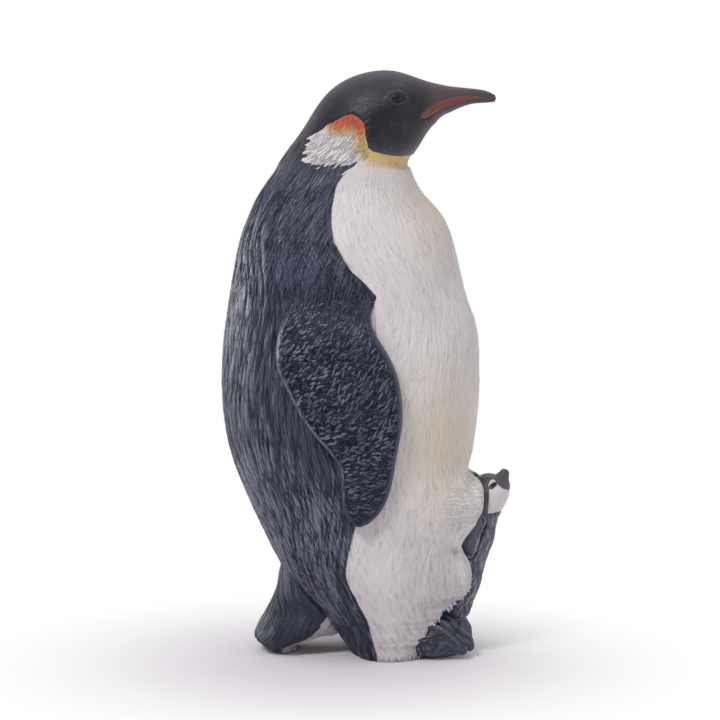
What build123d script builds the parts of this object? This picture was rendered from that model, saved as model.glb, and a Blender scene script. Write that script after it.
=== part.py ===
from build123d import *
import os
from math import cos, radians, sin

# Standing penguin figurine with a chick on its feet, moulded in separate pieces that plug together.
# Millimetres. +X is the way the penguin faces, +Y its left side, +Z up, and Z = 0 the ground.

# Walls and bonded joints
WALL = 2.6  # shell of the hollow torso
FLOOR = 9.0  # solid foot of the torso, below the hollow
GLUE_GAP = 0.12  # between two bonded faces
PEG_GAP = 0.1  # round a peg, on each side
PEG_END_GAP = 0.4  # between a peg's end and the bottom of its socket
SOCKET_WALL = 1.5  # round and behind a socket

# Torso: height, back, front and half width at each level
TORSO_LEVELS = [
    (0.0, -2.2, 8.8, 10.6),
    (4.0, -5.2, 11.4, 11.6),
    (8.0, -9.0, 14.4, 12.7),
    (12.0, -12.2, 17.0, 13.7),
    (16.4, -14.6, 16.7, 14.5),
    (20.0, -16.3, 18.2, 15.0),
    (23.2, -17.8, 19.5, 15.4),
    (25.8, -18.9, 18.0, 15.8),
    (29.0, -20.2, 16.4, 16.2),
    (34.0, -21.5, 17.0, 16.8),
    (41.0, -22.2, 17.6, 17.2),
    (48.5, -21.9, 17.5, 17.0),
    (56.0, -20.8, 15.3, 16.1),
    (63.0, -19.5, 13.7, 14.6),
    (68.0, -17.8, 11.8, 12.6),
    (72.0, -15.7, 7.9, 10.6),
    (75.0, -13.3, 6.8, 9.2),
]
WIDEST_SHARE = 0.48  # where a torso level is widest, from its back to its front

# Line between the dark back and the pale belly, seen from the side: x and height
SEAM_POINTS = [
    (1.3, 0.0),
    (-0.7, 6.6),
    (-2.5, 12.7),
    (-1.8, 20.0),
    (-1.2, 30.0),
    (-0.8, 42.0),
    (1.5, 54.5),
    (0.0, 58.6),
    (-3.0, 62.0),
    (-4.8, 65.5),
    (-5.1, 70.0),
    (-3.9, 73.6),
    (-2.8, 75.0),
]
SEAM_PIN_DIAMETER = 2.4
SEAM_PIN_LENGTH = 4.0
SEAM_PIN_HEIGHTS = [24.0, 58.0]

# Head: upper point, lower point (x and height) and half width of each section, from neck to beak tip
HEAD_SECTIONS = [
    ((-10.9, 79.0), (6.8, 76.6), 8.8),
    ((-8.4, 82.8), (7.9, 78.0), 8.4),
    ((-5.5, 86.7), (8.7, 79.2), 8.0),
    ((-1.5, 89.1), (9.4, 80.3), 7.6),
    ((2.5, 89.9), (10.0, 81.1), 6.9),
    ((6.0, 89.4), (10.4, 81.7), 5.7),
    ((8.6, 88.5), (11.0, 82.2), 4.3),
    ((10.7, 87.9), (11.6, 82.8), 3.2),
    ((12.8, 87.5), (13.2, 83.6), 2.4),
    ((15.3, 87.2), (15.3, 84.5), 1.75),
    ((18.0, 86.9), (17.9, 84.9), 1.15),
    ((20.0, 86.0), (19.9, 85.2), 0.4),
]
FACE_SECTION = 6  # the section that the skull and the beak share, counted from the neck
HEAD_WIDEST_SHARE = 0.5  # where a head section is widest, from its lower to its upper point
NECK_PLUG_LENGTH = 6.0
EYE_X = 4.7
EYE_BELOW_CROWN = 3.9
EYE_DIAMETER = 2.6
EYE_PROUD = 0.35

# Flippers: outline from the front of the shoulder down to the tip and up the rear edge, x and height
FLIPPER_OUTLINE = [
    (1.6, 56.4),
    (0.9, 52.6),
    (3.3, 48.2),
    (5.2, 43.0),
    (5.5, 37.6),
    (4.7, 32.8),
    (3.2, 26.0),
    (1.5, 23.4),
    (-0.8, 22.1),
    (-2.4, 24.2),
    (-4.0, 31.2),
    (-8.2, 36.6),
    (-11.2, 41.6),
    (-12.8, 46.2),
    (-11.4, 51.2),
    (-8.4, 57.2),
]
# Flippers: height above the ground and thickness there
FLIPPER_THICKNESSES = [(20.0, 1.5), (30.0, 2.0), (42.0, 2.7), (50.0, 2.3), (58.0, 0.7)]
FLIPPER_PEG_X = -4.4
FLIPPER_PEG_HEIGHT = 48.0
FLIPPER_PEG_DIAMETER = 4.0
FLIPPER_PEG_LENGTH = 4.5
FLIPPER_PEG_ROOT = 1.2  # how far the peg runs out into the flipper

# Tail: height, back, front and half width at each level
TAIL_LEVELS = [
    (0.0, -15.6, -10.2, 4.6),
    (1.2, -16.8, -8.2, 6.4),
    (2.8, -17.2, -6.0, 7.4),
    (5.0, -16.2, -4.0, 7.5),
    (8.0, -14.6, -4.0, 6.7),
    (11.0, -13.2, -4.0, 5.7),
    (14.0, -12.0, -4.0, 4.6),
]
TAIL_PEG_HEIGHT = 6.6
TAIL_PEG_DIAMETER = 3.6
TAIL_PEG_LENGTH = 4.4
TAIL_PEG_ROOT = 2.5

# Feet: distance from the ankle and radius along each toe
TOE_PROFILE = [(0.0, 2.2), (3.0, 2.15), (6.0, 1.8), (8.4, 1.2), (9.5, 0.45)]
TOE_DROOP = 28.0  # degrees below level
TOE_SPACING = 2.3  # from one toe to the next at the ankle
TOE_SPLAY = 9.0  # degrees between one toe and the next
FOOT_TURN = 4.0  # degrees outwards
ANKLE_HEIGHT = 5.2
ANKLE_X = 8.4
ANKLE_Y = 6.2
FOOT_PEG_HEIGHT = 3.6
FOOT_PEG_DIAMETER = 3.0
FOOT_PEG_LENGTH = 4.0
FOOT_PEG_ROOT = 2.0

# Chick: height, back, front and half width at each level, from its seat on the feet to the crown
CHICK_LEVELS = [
    (4.4, 9.6, 14.6, 3.0),
    (7.0, 9.6, 16.7, 4.2),
    (10.5, 10.0, 17.9, 4.9),
    (14.5, 10.6, 18.9, 5.2),
    (18.5, 11.8, 20.5, 4.9),
    (21.5, 14.0, 21.2, 4.0),
    (23.6, 15.2, 22.4, 4.0),
    (25.6, 15.9, 22.4, 3.7),
    (27.0, 17.6, 21.8, 2.4),
]
CHICK_WIDEST_SHARE = 0.5
CHICK_BEAK_X = 21.0
CHICK_BEAK_BASE_RADIUS = 1.25
CHICK_BEAK_TIP_RADIUS = 0.45
CHICK_BEAK_SUNK = 1.4  # how far the beak's root lies below the crown
CHICK_BEAK_LENGTH = 2.8
CHICK_BEAK_LEAN = 8.0  # degrees forwards
CHICK_WING_TOP = (18.2, 20.6)  # x and height
CHICK_WING_TIP = (15.6, 14.6)
CHICK_WING_CHORD = 2.6
CHICK_WING_THICKNESS = 2.0
NEST_GAP = 0.15  # between the chick and the fold it nestles in
CHICK_PEG_HEIGHT = 12.5
CHICK_PEG_DIAMETER = 3.0
CHICK_PEG_LENGTH = 4.2
CHICK_PEG_ROOT = 2.0

OUTLINE_POINTS = 16  # on each level outline
LEVEL_SPACING = 2.5  # between the level outlines of a loft, about
FAR = 100.0  # past the figurine on every side, for cutting blocks


def egg_face(back, front, half_width, widest_share):
    """Level outline of two half ellipses that meet where the level is widest."""
    widest = back + widest_share * (front - back)
    points = []
    for step in range(OUTLINE_POINTS):
        angle = radians(360 * step / OUTLINE_POINTS)
        reach = front - widest if cos(angle) > 0 else widest - back
        points.append((widest + reach * cos(angle), half_width * sin(angle)))
    even_spacing = [step / OUTLINE_POINTS for step in range(OUTLINE_POINTS + 1)]
    return make_face(Edge.make_spline(points, periodic=True, parameters=even_spacing))


def level_slopes(heights, values):
    """Slope at each level that lets a curve through the values rise and fall only where they do."""
    rises = []
    for (low, high), (start, end) in zip(zip(heights, heights[1:]), zip(values, values[1:])):
        rises.append((end - start) / (high - low))
    slopes = [rises[0]]
    for below, above in zip(rises, rises[1:]):
        slopes.append(2 * below * above / (below + above) if below * above > 0 else 0.0)
    return slopes + [rises[-1]]


def curve_value(heights, values, height):
    """Value at a height on the smooth curve through the values at the levels."""
    slopes = level_slopes(heights, values)
    place = 0
    while place < len(heights) - 2 and height > heights[place + 1]:
        place += 1
    span = heights[place + 1] - heights[place]
    share = (height - heights[place]) / span
    eased = share * share * (3 - 2 * share)
    value = values[place] + eased * (values[place + 1] - values[place])
    value += span * share * (1 - share) ** 2 * slopes[place]
    return value - span * share * share * (1 - share) * slopes[place + 1]


def close_levels(levels):
    """Levels at an even, close spacing on the curves through those given."""
    heights, backs, fronts, half_widths = zip(*levels)
    count = round((heights[-1] - heights[0]) / LEVEL_SPACING)
    closer = []
    for step in range(count + 1):
        height = heights[0] + (heights[-1] - heights[0]) * step / count
        row = [curve_value(heights, values, height) for values in (backs, fronts, half_widths)]
        closer.append((height, *row))
    return closer


def egg_loft(levels, widest_share, grow=0.0):
    """Loft through level outlines, each grown by one distance or by a function of its height."""
    faces = []
    for height, back, front, half_width in close_levels(levels):
        extra = grow(height) if callable(grow) else grow
        face = egg_face(back - extra, front + extra, half_width + extra, widest_share)
        faces.append(Pos(0, 0, height) * face)
    return loft(faces)


def torso_form(grow=0.0):
    return egg_loft(TORSO_LEVELS, WIDEST_SHARE, grow)


def peg(diameter, start, end):
    """Round peg between two points."""
    axis = Vector(*end) - Vector(*start)
    return extrude(Plane(origin=start, z_dir=axis) * Circle(diameter / 2), axis.length)


def socket(diameter, start, end):
    """Space for a peg between the same two points, with its clearances."""
    direction = (Vector(*end) - Vector(*start)).normalized()
    deep_end = Vector(*end) + direction * PEG_END_GAP
    return peg(diameter + 2 * PEG_GAP, start, tuple(deep_end))


def boss(diameter, start, end):
    """Material round a socket."""
    direction = (Vector(*end) - Vector(*start)).normalized()
    deep_end = Vector(*end) + direction * (PEG_END_GAP + SOCKET_WALL)
    return peg(diameter + 2 * (PEG_GAP + SOCKET_WALL), start, tuple(deep_end))


def surface_point(shape, origin, direction):
    """Where a line out of the shape's inside first meets its surface."""
    hits = shape.shell().find_intersection_points(Axis(origin, direction))
    ahead = [point for point, _ in hits if (point - Vector(*origin)).dot(Vector(*direction)) > 0]
    return min(ahead, key=lambda point: (point - Vector(*origin)).length)


def above_ground(shape):
    return shape & Pos(0, 0, FAR / 2) * Box(2 * FAR, 2 * FAR, FAR)


# Torso, before it is divided
torso = torso_form()
clear_of_torso = torso_form(GLUE_GAP)
neck_height, neck_back, neck_front, neck_half_width = TORSO_LEVELS[-1]

# Line of the seam and the block behind it
seam = Spline([(x, 0, height) for x, height in SEAM_POINTS])
seam_foot = seam @ 0
seam_top = seam @ 1
behind = make_face(
    [
        seam,
        Line(seam_top, (seam_top.X, 0, FAR)),
        Line((seam_top.X, 0, FAR), (-FAR, 0, FAR)),
        Line((-FAR, 0, FAR), (-FAR, 0, -FAR)),
        Line((-FAR, 0, -FAR), (seam_foot.X, 0, -FAR)),
        Line((seam_foot.X, 0, -FAR), seam_foot),
    ]
)
behind_seam = extrude(behind, FAR, both=True)


def seam_x(height):
    """Where the seam lies at a height."""
    low, high = 0.0, 1.0
    for _ in range(40):
        middle = (low + high) / 2
        if (seam @ middle).Z < height:
            low = middle
        else:
            high = middle
    return (seam @ low).X


# Places of the pegs: where each leaves the torso's surface and where it ends
def flipper_peg_ends(side):
    inside = (FLIPPER_PEG_X, 0, FLIPPER_PEG_HEIGHT)
    skin = surface_point(torso, inside, (0, side, 0))
    start = (skin.X, skin.Y + side * FLIPPER_PEG_ROOT, skin.Z)
    end = (skin.X, skin.Y - side * FLIPPER_PEG_LENGTH, skin.Z)
    return start, end


def tail_peg_ends():
    inside = (seam_x(TAIL_PEG_HEIGHT), 0, TAIL_PEG_HEIGHT)
    skin = surface_point(torso, inside, (-1, 0, 0))
    return (skin.X - TAIL_PEG_ROOT, 0, skin.Z), (skin.X + TAIL_PEG_LENGTH, 0, skin.Z)


def foot_peg_ends(side):
    inside = (seam_x(FOOT_PEG_HEIGHT), side * ANKLE_Y, FOOT_PEG_HEIGHT)
    skin = surface_point(torso, inside, (1, 0, 0))
    return (skin.X + FOOT_PEG_ROOT, skin.Y, skin.Z), (skin.X - FOOT_PEG_LENGTH, skin.Y, skin.Z)


def chick_peg_ends():
    middle = (CHICK_LEVELS[0][1] + CHICK_LEVELS[0][2]) / 2
    skin = surface_point(chick_body, (middle, 0, CHICK_PEG_HEIGHT), (-1, 0, 0))
    return (skin.X + CHICK_PEG_ROOT, 0, skin.Z), (skin.X - CHICK_PEG_LENGTH, 0, skin.Z)


def seam_pin_ends():
    """Pins from the belly shell back into the back shell, beside each side wall."""
    ends = []
    for height in SEAM_PIN_HEIGHTS:
        x = seam_x(height)
        for side in (-1, 1):
            wall = surface_point(torso, (x, 0, height), (0, side, 0))
            y = wall.Y - side * (WALL + SEAM_PIN_DIAMETER / 2)
            ends.append(((x, y, height), (x - SEAM_PIN_LENGTH, y, height)))
    return ends


# Feet
def toe(side, place):
    """Round tapered toe that droops from the ankle; places -1, 0 and 1 run from inner to outer."""
    start, end = TOE_PROFILE[0], TOE_PROFILE[-1]
    profile = make_face(
        [
            Spline(TOE_PROFILE),
            Line(end, (end[0], 0)),
            Line((end[0], 0), (start[0], 0)),
            Line((start[0], 0), start),
        ]
    )
    root = Pos(ANKLE_X, side * (ANKLE_Y + place * TOE_SPACING), ANKLE_HEIGHT)
    turn = side * (FOOT_TURN + place * TOE_SPLAY)
    return root * Rot(0, 0, turn) * Rot(0, TOE_DROOP, 0) * revolve(profile, Axis.X)


def make_foot(side):
    foot = Part() + [toe(side, place) for place in (-1, 0, 1)]
    foot = above_ground(foot) - clear_of_torso
    return foot + peg(FOOT_PEG_DIAMETER, *foot_peg_ends(side))


# Chick
chick_body = egg_loft(CHICK_LEVELS, CHICK_WIDEST_SHARE)


def chick_wing(side, grow=0.0):
    """Small rounded wing down the chick's flank."""
    top = Vector(CHICK_WING_TOP[0], 0, CHICK_WING_TOP[1])
    tip = Vector(CHICK_WING_TIP[0], 0, CHICK_WING_TIP[1])
    middle = (top + tip) / 2
    skin = surface_point(chick_body, (middle.X, 0, middle.Z), (0, side, 0))
    along = tip - top
    size = (along.length / 2 + grow, CHICK_WING_CHORD / 2 + grow, CHICK_WING_THICKNESS / 2 + grow)
    plane = Plane(origin=(middle.X, skin.Y, middle.Z), x_dir=along, z_dir=(0, 1, 0))
    return plane * scale(Sphere(1), size)


def make_chick(feet):
    chick = chick_body
    for side in (-1, 1):
        chick += chick_wing(side)
    beak = Cone(
        CHICK_BEAK_BASE_RADIUS,
        CHICK_BEAK_TIP_RADIUS,
        CHICK_BEAK_LENGTH,
        align=(Align.CENTER, Align.CENTER, Align.MIN),
    )
    crown_height = CHICK_LEVELS[-1][0]
    beak_root = Pos(CHICK_BEAK_X, 0, crown_height - CHICK_BEAK_SUNK)
    chick += beak_root * Rot(0, CHICK_BEAK_LEAN, 0) * beak
    chick += peg(CHICK_PEG_DIAMETER, *chick_peg_ends())
    for foot in feet:
        chick -= foot
    return chick


# Hollow torso in two shells
def make_shells():
    nest = egg_loft(CHICK_LEVELS, CHICK_WIDEST_SHARE, NEST_GAP)
    for side in (-1, 1):
        nest += chick_wing(side, NEST_GAP)
    nest_wall = egg_loft(CHICK_LEVELS, CHICK_WIDEST_SHARE, NEST_GAP + WALL)
    hollow = torso_form(-WALL) - nest_wall
    hollow &= Pos(0, 0, FLOOR + FAR / 2) * Box(2 * FAR, 2 * FAR, FAR)
    shell = torso - hollow
    bosses = boss(CHICK_PEG_DIAMETER, *chick_peg_ends())
    for side in (-1, 1):
        bosses += boss(FLIPPER_PEG_DIAMETER, *flipper_peg_ends(side))
    for start, end in seam_pin_ends():
        bosses += boss(SEAM_PIN_DIAMETER, start, end)
        bosses += boss(SEAM_PIN_DIAMETER, start, (2 * start[0] - end[0], start[1], start[2]))
    shell += bosses & torso
    shell -= nest
    shell -= socket(CHICK_PEG_DIAMETER, *chick_peg_ends())
    shell -= socket(TAIL_PEG_DIAMETER, *tail_peg_ends())
    for side in (-1, 1):
        shell -= socket(FLIPPER_PEG_DIAMETER, *flipper_peg_ends(side))
        shell -= socket(FOOT_PEG_DIAMETER, *foot_peg_ends(side))
    back = shell & behind_seam
    belly = shell - behind_seam
    for start, end in seam_pin_ends():
        root = (2 * start[0] - end[0], start[1], start[2])
        back -= socket(SEAM_PIN_DIAMETER, root, end)
        belly += peg(SEAM_PIN_DIAMETER, root, end)
    return back, belly


# Head
def head_section(upper, lower, half_width):
    upper_point, lower_point = Vector(upper[0], 0, upper[1]), Vector(lower[0], 0, lower[1])
    across = upper_point - lower_point
    plane = Plane(
        origin=(upper_point + lower_point) / 2,
        x_dir=across,
        z_dir=across.cross(Vector(0, 1, 0)),
    )
    reach = across.length / 2
    return plane * egg_face(-reach, reach, half_width, HEAD_WIDEST_SHARE)


def make_head():
    neck = ((neck_back, neck_height), (neck_front, neck_height), neck_half_width)
    sections = [head_section(*section) for section in [neck] + HEAD_SECTIONS]
    head = loft(sections[: FACE_SECTION + 1]) + loft(sections[FACE_SECTION:])
    crown_height = max(upper[1] for upper, lower, half_width in HEAD_SECTIONS)
    eye_height = crown_height - EYE_BELOW_CROWN
    for side in (-1, 1):
        skin = surface_point(head, (EYE_X, 0, eye_height), (0, side, 0))
        sunk = EYE_DIAMETER / 2 - EYE_PROUD
        head += Pos(EYE_X, skin.Y - side * sunk, eye_height) * Sphere(EYE_DIAMETER / 2)
    inset = WALL + PEG_GAP
    plug = egg_face(neck_back + inset, neck_front - inset, neck_half_width - inset, WIDEST_SHARE)
    return head + extrude(Pos(0, 0, neck_height) * plug, -NECK_PLUG_LENGTH)


# Flippers
def flipper_thickness(height):
    """Thickness at a height, between the two nearest of those given."""
    pairs = zip(FLIPPER_THICKNESSES, FLIPPER_THICKNESSES[1:])
    for (low, low_thickness), (high, high_thickness) in pairs:
        if low <= height <= high:
            share = (height - low) / (high - low)
            return low_thickness + share * (high_thickness - low_thickness)
    nearest = min(FLIPPER_THICKNESSES, key=lambda entry: abs(entry[0] - height))
    return nearest[1]


def make_flipper(side):
    points = [(x, 0, height) for x, height in FLIPPER_OUTLINE]
    outline = make_face([Spline(points), Line(points[-1], points[0])])
    direction = Vector(0, side * FAR, 0)
    paddle = extrude(outline, FAR, dir=direction) & torso_form(flipper_thickness)
    return paddle - clear_of_torso + peg(FLIPPER_PEG_DIAMETER, *flipper_peg_ends(side))


# Tail
def make_tail():
    tail = egg_loft(TAIL_LEVELS, WIDEST_SHARE) - clear_of_torso
    return tail + peg(TAIL_PEG_DIAMETER, *tail_peg_ends())


feet = [make_foot(side) for side in (-1, 1)]
back_shell, belly_shell = make_shells()
pieces = {
    "back_shell": back_shell,
    "belly_shell": belly_shell,
    "head": make_head(),
    "right_flipper": make_flipper(-1),
    "left_flipper": make_flipper(1),
    "tail": make_tail(),
    "right_foot": feet[0],
    "left_foot": feet[1],
    "chick": make_chick(feet),
}

# The origin is on the ground under the middle of the figurine's box
boxes = [piece.bounding_box() for piece in pieces.values()]
middle_x = (min(box.min.X for box in boxes) + max(box.max.X for box in boxes)) / 2
middle_y = (min(box.min.Y for box in boxes) + max(box.max.Y for box in boxes)) / 2
to_origin = Pos(-middle_x, -middle_y, -min(box.min.Z for box in boxes))

os.makedirs("parts", exist_ok=True)
for name, piece in pieces.items():
    export_step(to_origin * piece, f"parts/{name}.step")
    print(name, "volume", round(piece.volume, 1))
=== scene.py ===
import math
import bmesh
import bpy
import numpy as np
from mathutils import Matrix, Vector
from mathutils.bvhtree import BVHTree


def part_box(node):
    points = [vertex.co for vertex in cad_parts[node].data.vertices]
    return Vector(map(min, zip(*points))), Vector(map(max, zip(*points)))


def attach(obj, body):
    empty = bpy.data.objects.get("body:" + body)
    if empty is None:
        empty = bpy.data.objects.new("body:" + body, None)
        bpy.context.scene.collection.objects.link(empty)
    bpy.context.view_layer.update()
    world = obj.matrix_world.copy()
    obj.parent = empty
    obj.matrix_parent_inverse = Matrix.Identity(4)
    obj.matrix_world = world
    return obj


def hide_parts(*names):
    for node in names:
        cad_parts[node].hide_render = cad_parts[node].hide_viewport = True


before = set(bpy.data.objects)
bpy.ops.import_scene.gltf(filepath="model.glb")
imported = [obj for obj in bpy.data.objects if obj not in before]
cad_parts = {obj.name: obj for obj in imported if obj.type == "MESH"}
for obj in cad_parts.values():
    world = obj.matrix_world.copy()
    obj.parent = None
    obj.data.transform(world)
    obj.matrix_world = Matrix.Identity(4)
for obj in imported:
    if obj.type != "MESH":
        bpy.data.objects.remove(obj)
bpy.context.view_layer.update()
mm = 0.001
farAway = 60  # millimetres, outside the figure on every side
print("frame loaded:", sorted(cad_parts))


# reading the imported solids, in millimetres

def cadTree(*names):
    points, faces, firstFaces = [], [], []
    for name in names:
        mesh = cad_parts[name].data
        mesh.calc_loop_triangles()
        start = len(points)
        firstFaces.append(len(faces))
        points += [v.co / mm for v in mesh.vertices]
        faces += [[start + i for i in t.vertices] for t in mesh.loop_triangles]
    return BVHTree.FromPolygons(points, faces), firstFaces


def cadPoints(name):
    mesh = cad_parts[name].data
    flat = np.empty(len(mesh.vertices) * 3)
    mesh.vertices.foreach_get("co", flat)
    return flat.reshape(-1, 3) / mm


def boxOf(name):
    low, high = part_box(name)
    return np.array(low) / mm, np.array(high) / mm


def smoothAlong(values, width):
    reach = int(3 * width) + 1
    kernel = np.exp(-0.5 * (np.arange(-reach, reach + 1) / width) ** 2)
    edges = [(reach, reach)] + [(0, 0)] * (values.ndim - 1)
    padded = np.pad(values, edges, mode="reflect", reflect_type="odd")
    return sum(k * padded[i:i + len(values)] for i, k in enumerate(kernel / kernel.sum()))


def curveBetween(rows, place):
    # smooth curve through evenly numbered rows
    place = np.clip(place, 0, len(rows) - 1.0001)
    i = np.floor(place).astype(int)
    f = (place - i).reshape([-1] + [1] * (rows.ndim - 1))
    a, b = rows[np.maximum(i - 1, 0)], rows[i]
    c, d = rows[i + 1], rows[np.minimum(i + 2, len(rows) - 1)]
    second, third = 2 * a - 5 * b + 4 * c - d, 3 * b - a - 3 * c + d
    return 0.5 * (2 * b + (c - a) * f + second * f ** 2 + third * f ** 3)


def easeStep(low, high, value):
    t = np.clip((value - low) / (high - low), 0, 1)
    return t * t * (3 - 2 * t)


def softSpot(x, z, middle, reach):
    # round mark in side view that fades outwards
    return np.exp(-(((x - middle[0]) / reach[0]) ** 2 + ((z - middle[1]) / reach[1]) ** 2))


def fitSeries(angles, reach, count, rounds, least, outward=1.0, most=1e9):
    # cosine series of an outline's radius, past sockets and other gaps
    basis = np.cos(np.outer(angles, np.arange(count)))
    sound = (reach > 0.05) & (reach < most)
    keep = sound
    for turn in range(rounds):
        series = np.linalg.lstsq(basis[keep], reach[keep], rcond=None)[0]
        gap = reach - basis @ series
        limit = max(least, 0.6 ** turn)
        keep = (gap > -limit) & (gap < outward * limit) & sound
    return series


# body form: sections from the ground to the beak tip, read off the solids

bodyForm = {
    "levelStep": 1.0,  # between the torso sections
    "fanSteps": 40,  # sections that turn from the neck to the face
    "beakStep": 0.5,
    "pivotX": 12.0,  # the fan turns about a line over this x, at the neck's height
    "cosines": 13,  # in the series that each section is fitted with
    "rays": 121,
    "rayLength": 70.0,
    "band": 1.2,  # above and below a level, to find its front and back
    "rowStep": 0.36,
    "fanRows": 110,
    "beakRows": 40,
    "backColumns": 416,
    "bellyColumns": 368,
}


def sectionShape(tree, centre, toward):
    # outline in a plane through the centre, from the front round one side to the back
    angles = np.linspace(0, math.pi, bodyForm["rays"])
    far = bodyForm["rayLength"]
    reach = []
    for angle in angles:
        way = toward * math.cos(angle) + np.array([0, 1.0, 0]) * math.sin(angle)
        hit = tree.ray_cast(Vector(centre + way * far), Vector(-way))
        reach.append(far - hit[3] if hit[0] is not None else 0.0)
    reach = np.array(reach)
    return fitSeries(angles, reach, bodyForm["cosines"], rounds=8, least=0.06, outward=1.5)


def bodySections():
    torsoTree, firstFaces = cadTree("back_shell", "belly_shell")
    headTree, _ = cadTree("head")
    backPoints, bellyPoints = cadPoints("back_shell"), cadPoints("belly_shell")
    neckZ = boxOf("back_shell")[1][2]
    levels = np.linspace(0.05, neckZ - 0.05, int(neckZ / bodyForm["levelStep"]) + 1)
    middles = []
    band = bodyForm["band"]
    for z in levels:
        back = backPoints[abs(backPoints[:, 2] - z) < band][:, 0].min()
        front = bellyPoints[abs(bellyPoints[:, 2] - z) < band][:, 0].max()
        middles.append((back + front) / 2)
    middles = smoothAlong(np.array(middles), 6.0)
    centres, towards, shapes = [], [], []
    for z, x in zip(levels, middles):
        centres.append(np.array([x, 0, z]))
        towards.append(np.array([1.0, 0, 0]))
        shapes.append(sectionShape(torsoTree, centres[-1], towards[-1]))
    torsoCount = len(levels)
    pivot = np.array([bodyForm["pivotX"], 0, neckZ])
    tip = boxOf("head")[1][0]
    beakCount = int((tip - 0.25 - pivot[0]) / bodyForm["beakStep"])
    planes = []
    for step in range(1, bodyForm["fanSteps"] + 1):
        turn = math.radians(90) * step / bodyForm["fanSteps"]
        planes.append((pivot, np.array([-math.cos(turn), 0, math.sin(turn)])))
    for step in range(1, beakCount + 1):
        x = pivot[0] + (tip - 0.2 - pivot[0]) * step / beakCount
        planes.append((np.array([x, 0, neckZ]), np.array([0, 0, 1.0])))
    spans = []
    for base, outward in planes:
        upper = headTree.ray_cast(Vector(base + outward * farAway), Vector(-outward))[0]
        lower = headTree.ray_cast(Vector(base), Vector(outward))[0]
        spans.append(((np.array(upper) + np.array(lower)) / 2 - base) @ outward)
    spans = smoothAlong(np.array(spans), 1.5)
    # run on from the torso's middle line
    offset = (centres[-1] - planes[0][0]) @ planes[0][1] - spans[0]
    for k, (base, outward) in enumerate(planes):
        centres.append(base + outward * (spans[k] + offset * math.exp(-k / 7)))
        towards.append(-outward)
        shapes.append(sectionShape(headTree, centres[-1], towards[-1]))
    centres, towards, shapes = np.array(centres), np.array(towards), np.array(shapes)
    # even out the meshing of the solids
    shapes = smoothAlong(shapes, 1.3)
    # the seam's angle at each level, by halving
    seams = []
    for centre in centres[:torsoCount]:
        low, high = math.radians(30), math.radians(150)
        for _ in range(24):
            angle = (low + high) / 2
            way = Vector((math.cos(angle), math.sin(angle), 0))
            hit = torsoTree.ray_cast(Vector(centre) + way * bodyForm["rayLength"], -way)
            onBelly = hit[0] is not None and hit[2] >= firstFaces[1]
            low, high = (angle, high) if onBelly else (low, angle)
        seams.append(low)
    seams = smoothAlong(np.array(seams), 1.5)
    seams = np.concatenate([seams, np.full(len(centres) - torsoCount, seams[-1])])
    return centres, towards, shapes, seams, torsoCount


centres, towards, shapes, seams, torsoCount = bodySections()
print("body sections:", len(centres), "of which torso", torsoCount)


def bodyGrid():
    f = bodyForm
    neckZ = centres[torsoCount - 1][2]
    torsoRows = np.linspace(0, torsoCount - 1, int(neckZ / f["rowStep"]))
    fanRows = torsoCount - 1 + f["fanSteps"] * np.linspace(0, 1, f["fanRows"])[1:]
    last = len(centres) - 1
    beakRows = fanRows[-1] + (last - fanRows[-1]) * np.linspace(0, 1, f["beakRows"])[1:]
    rows = np.concatenate([torsoRows, fanRows, beakRows])
    c, t = curveBetween(centres, rows), curveBetween(towards, rows)
    t /= np.linalg.norm(t, axis=1)[:, None]
    a, seam = curveBetween(shapes, rows), curveBetween(seams, rows)
    seam = seam[:, None]
    back = seam + (2 * math.pi - 2 * seam) * np.linspace(0, 1, f["backColumns"] + 1)[None, :-1]
    belly = -seam + 2 * seam * np.linspace(0, 1, f["bellyColumns"] + 1)[None, :-1]
    angle = np.concatenate([back, belly], axis=1)
    reach = sum(a[:, k:k + 1] * np.cos(k * angle) for k in range(a.shape[1]))
    points = c[:, None, :] + (reach * np.cos(angle))[..., None] * t[:, None, :]
    points[..., 1] += reach * np.sin(angle)
    return points, c, len(torsoRows)


bodyPoints, bodyCentres, torsoRowCount = bodyGrid()
bodyRows, bodyColumns = bodyPoints.shape[:2]
print("body grid:", bodyRows, "rows by", bodyColumns)


def gridNoise(shape, across, along, seed, shift=0.0):
    # smooth noise drawn out along the columns; its steps are counted in columns and rows
    rows, columns = shape
    pick = np.random.default_rng(seed)
    width = 509
    lattice = pick.normal(0, 1, (int(rows / along) + 3, width))
    phase = pick.uniform(0, 99, len(lattice))
    v = np.arange(rows)[:, None] / along + np.zeros((1, columns))
    u = np.arange(columns)[None, :] / across + shift
    i = np.floor(v).astype(int)

    def level(k):
        place = u + phase[k]
        j = np.floor(place).astype(int)
        f = easeStep(0, 1, place - j)
        return lattice[k, j % width] * (1 - f) + lattice[k, (j + 1) % width] * f

    share = easeStep(0, 1, v - i)
    return level(i) * (1 - share) + level(i + 1) * share


# brood pouch: the belly's skin folds forward on each side of the chick and over the feet

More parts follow.
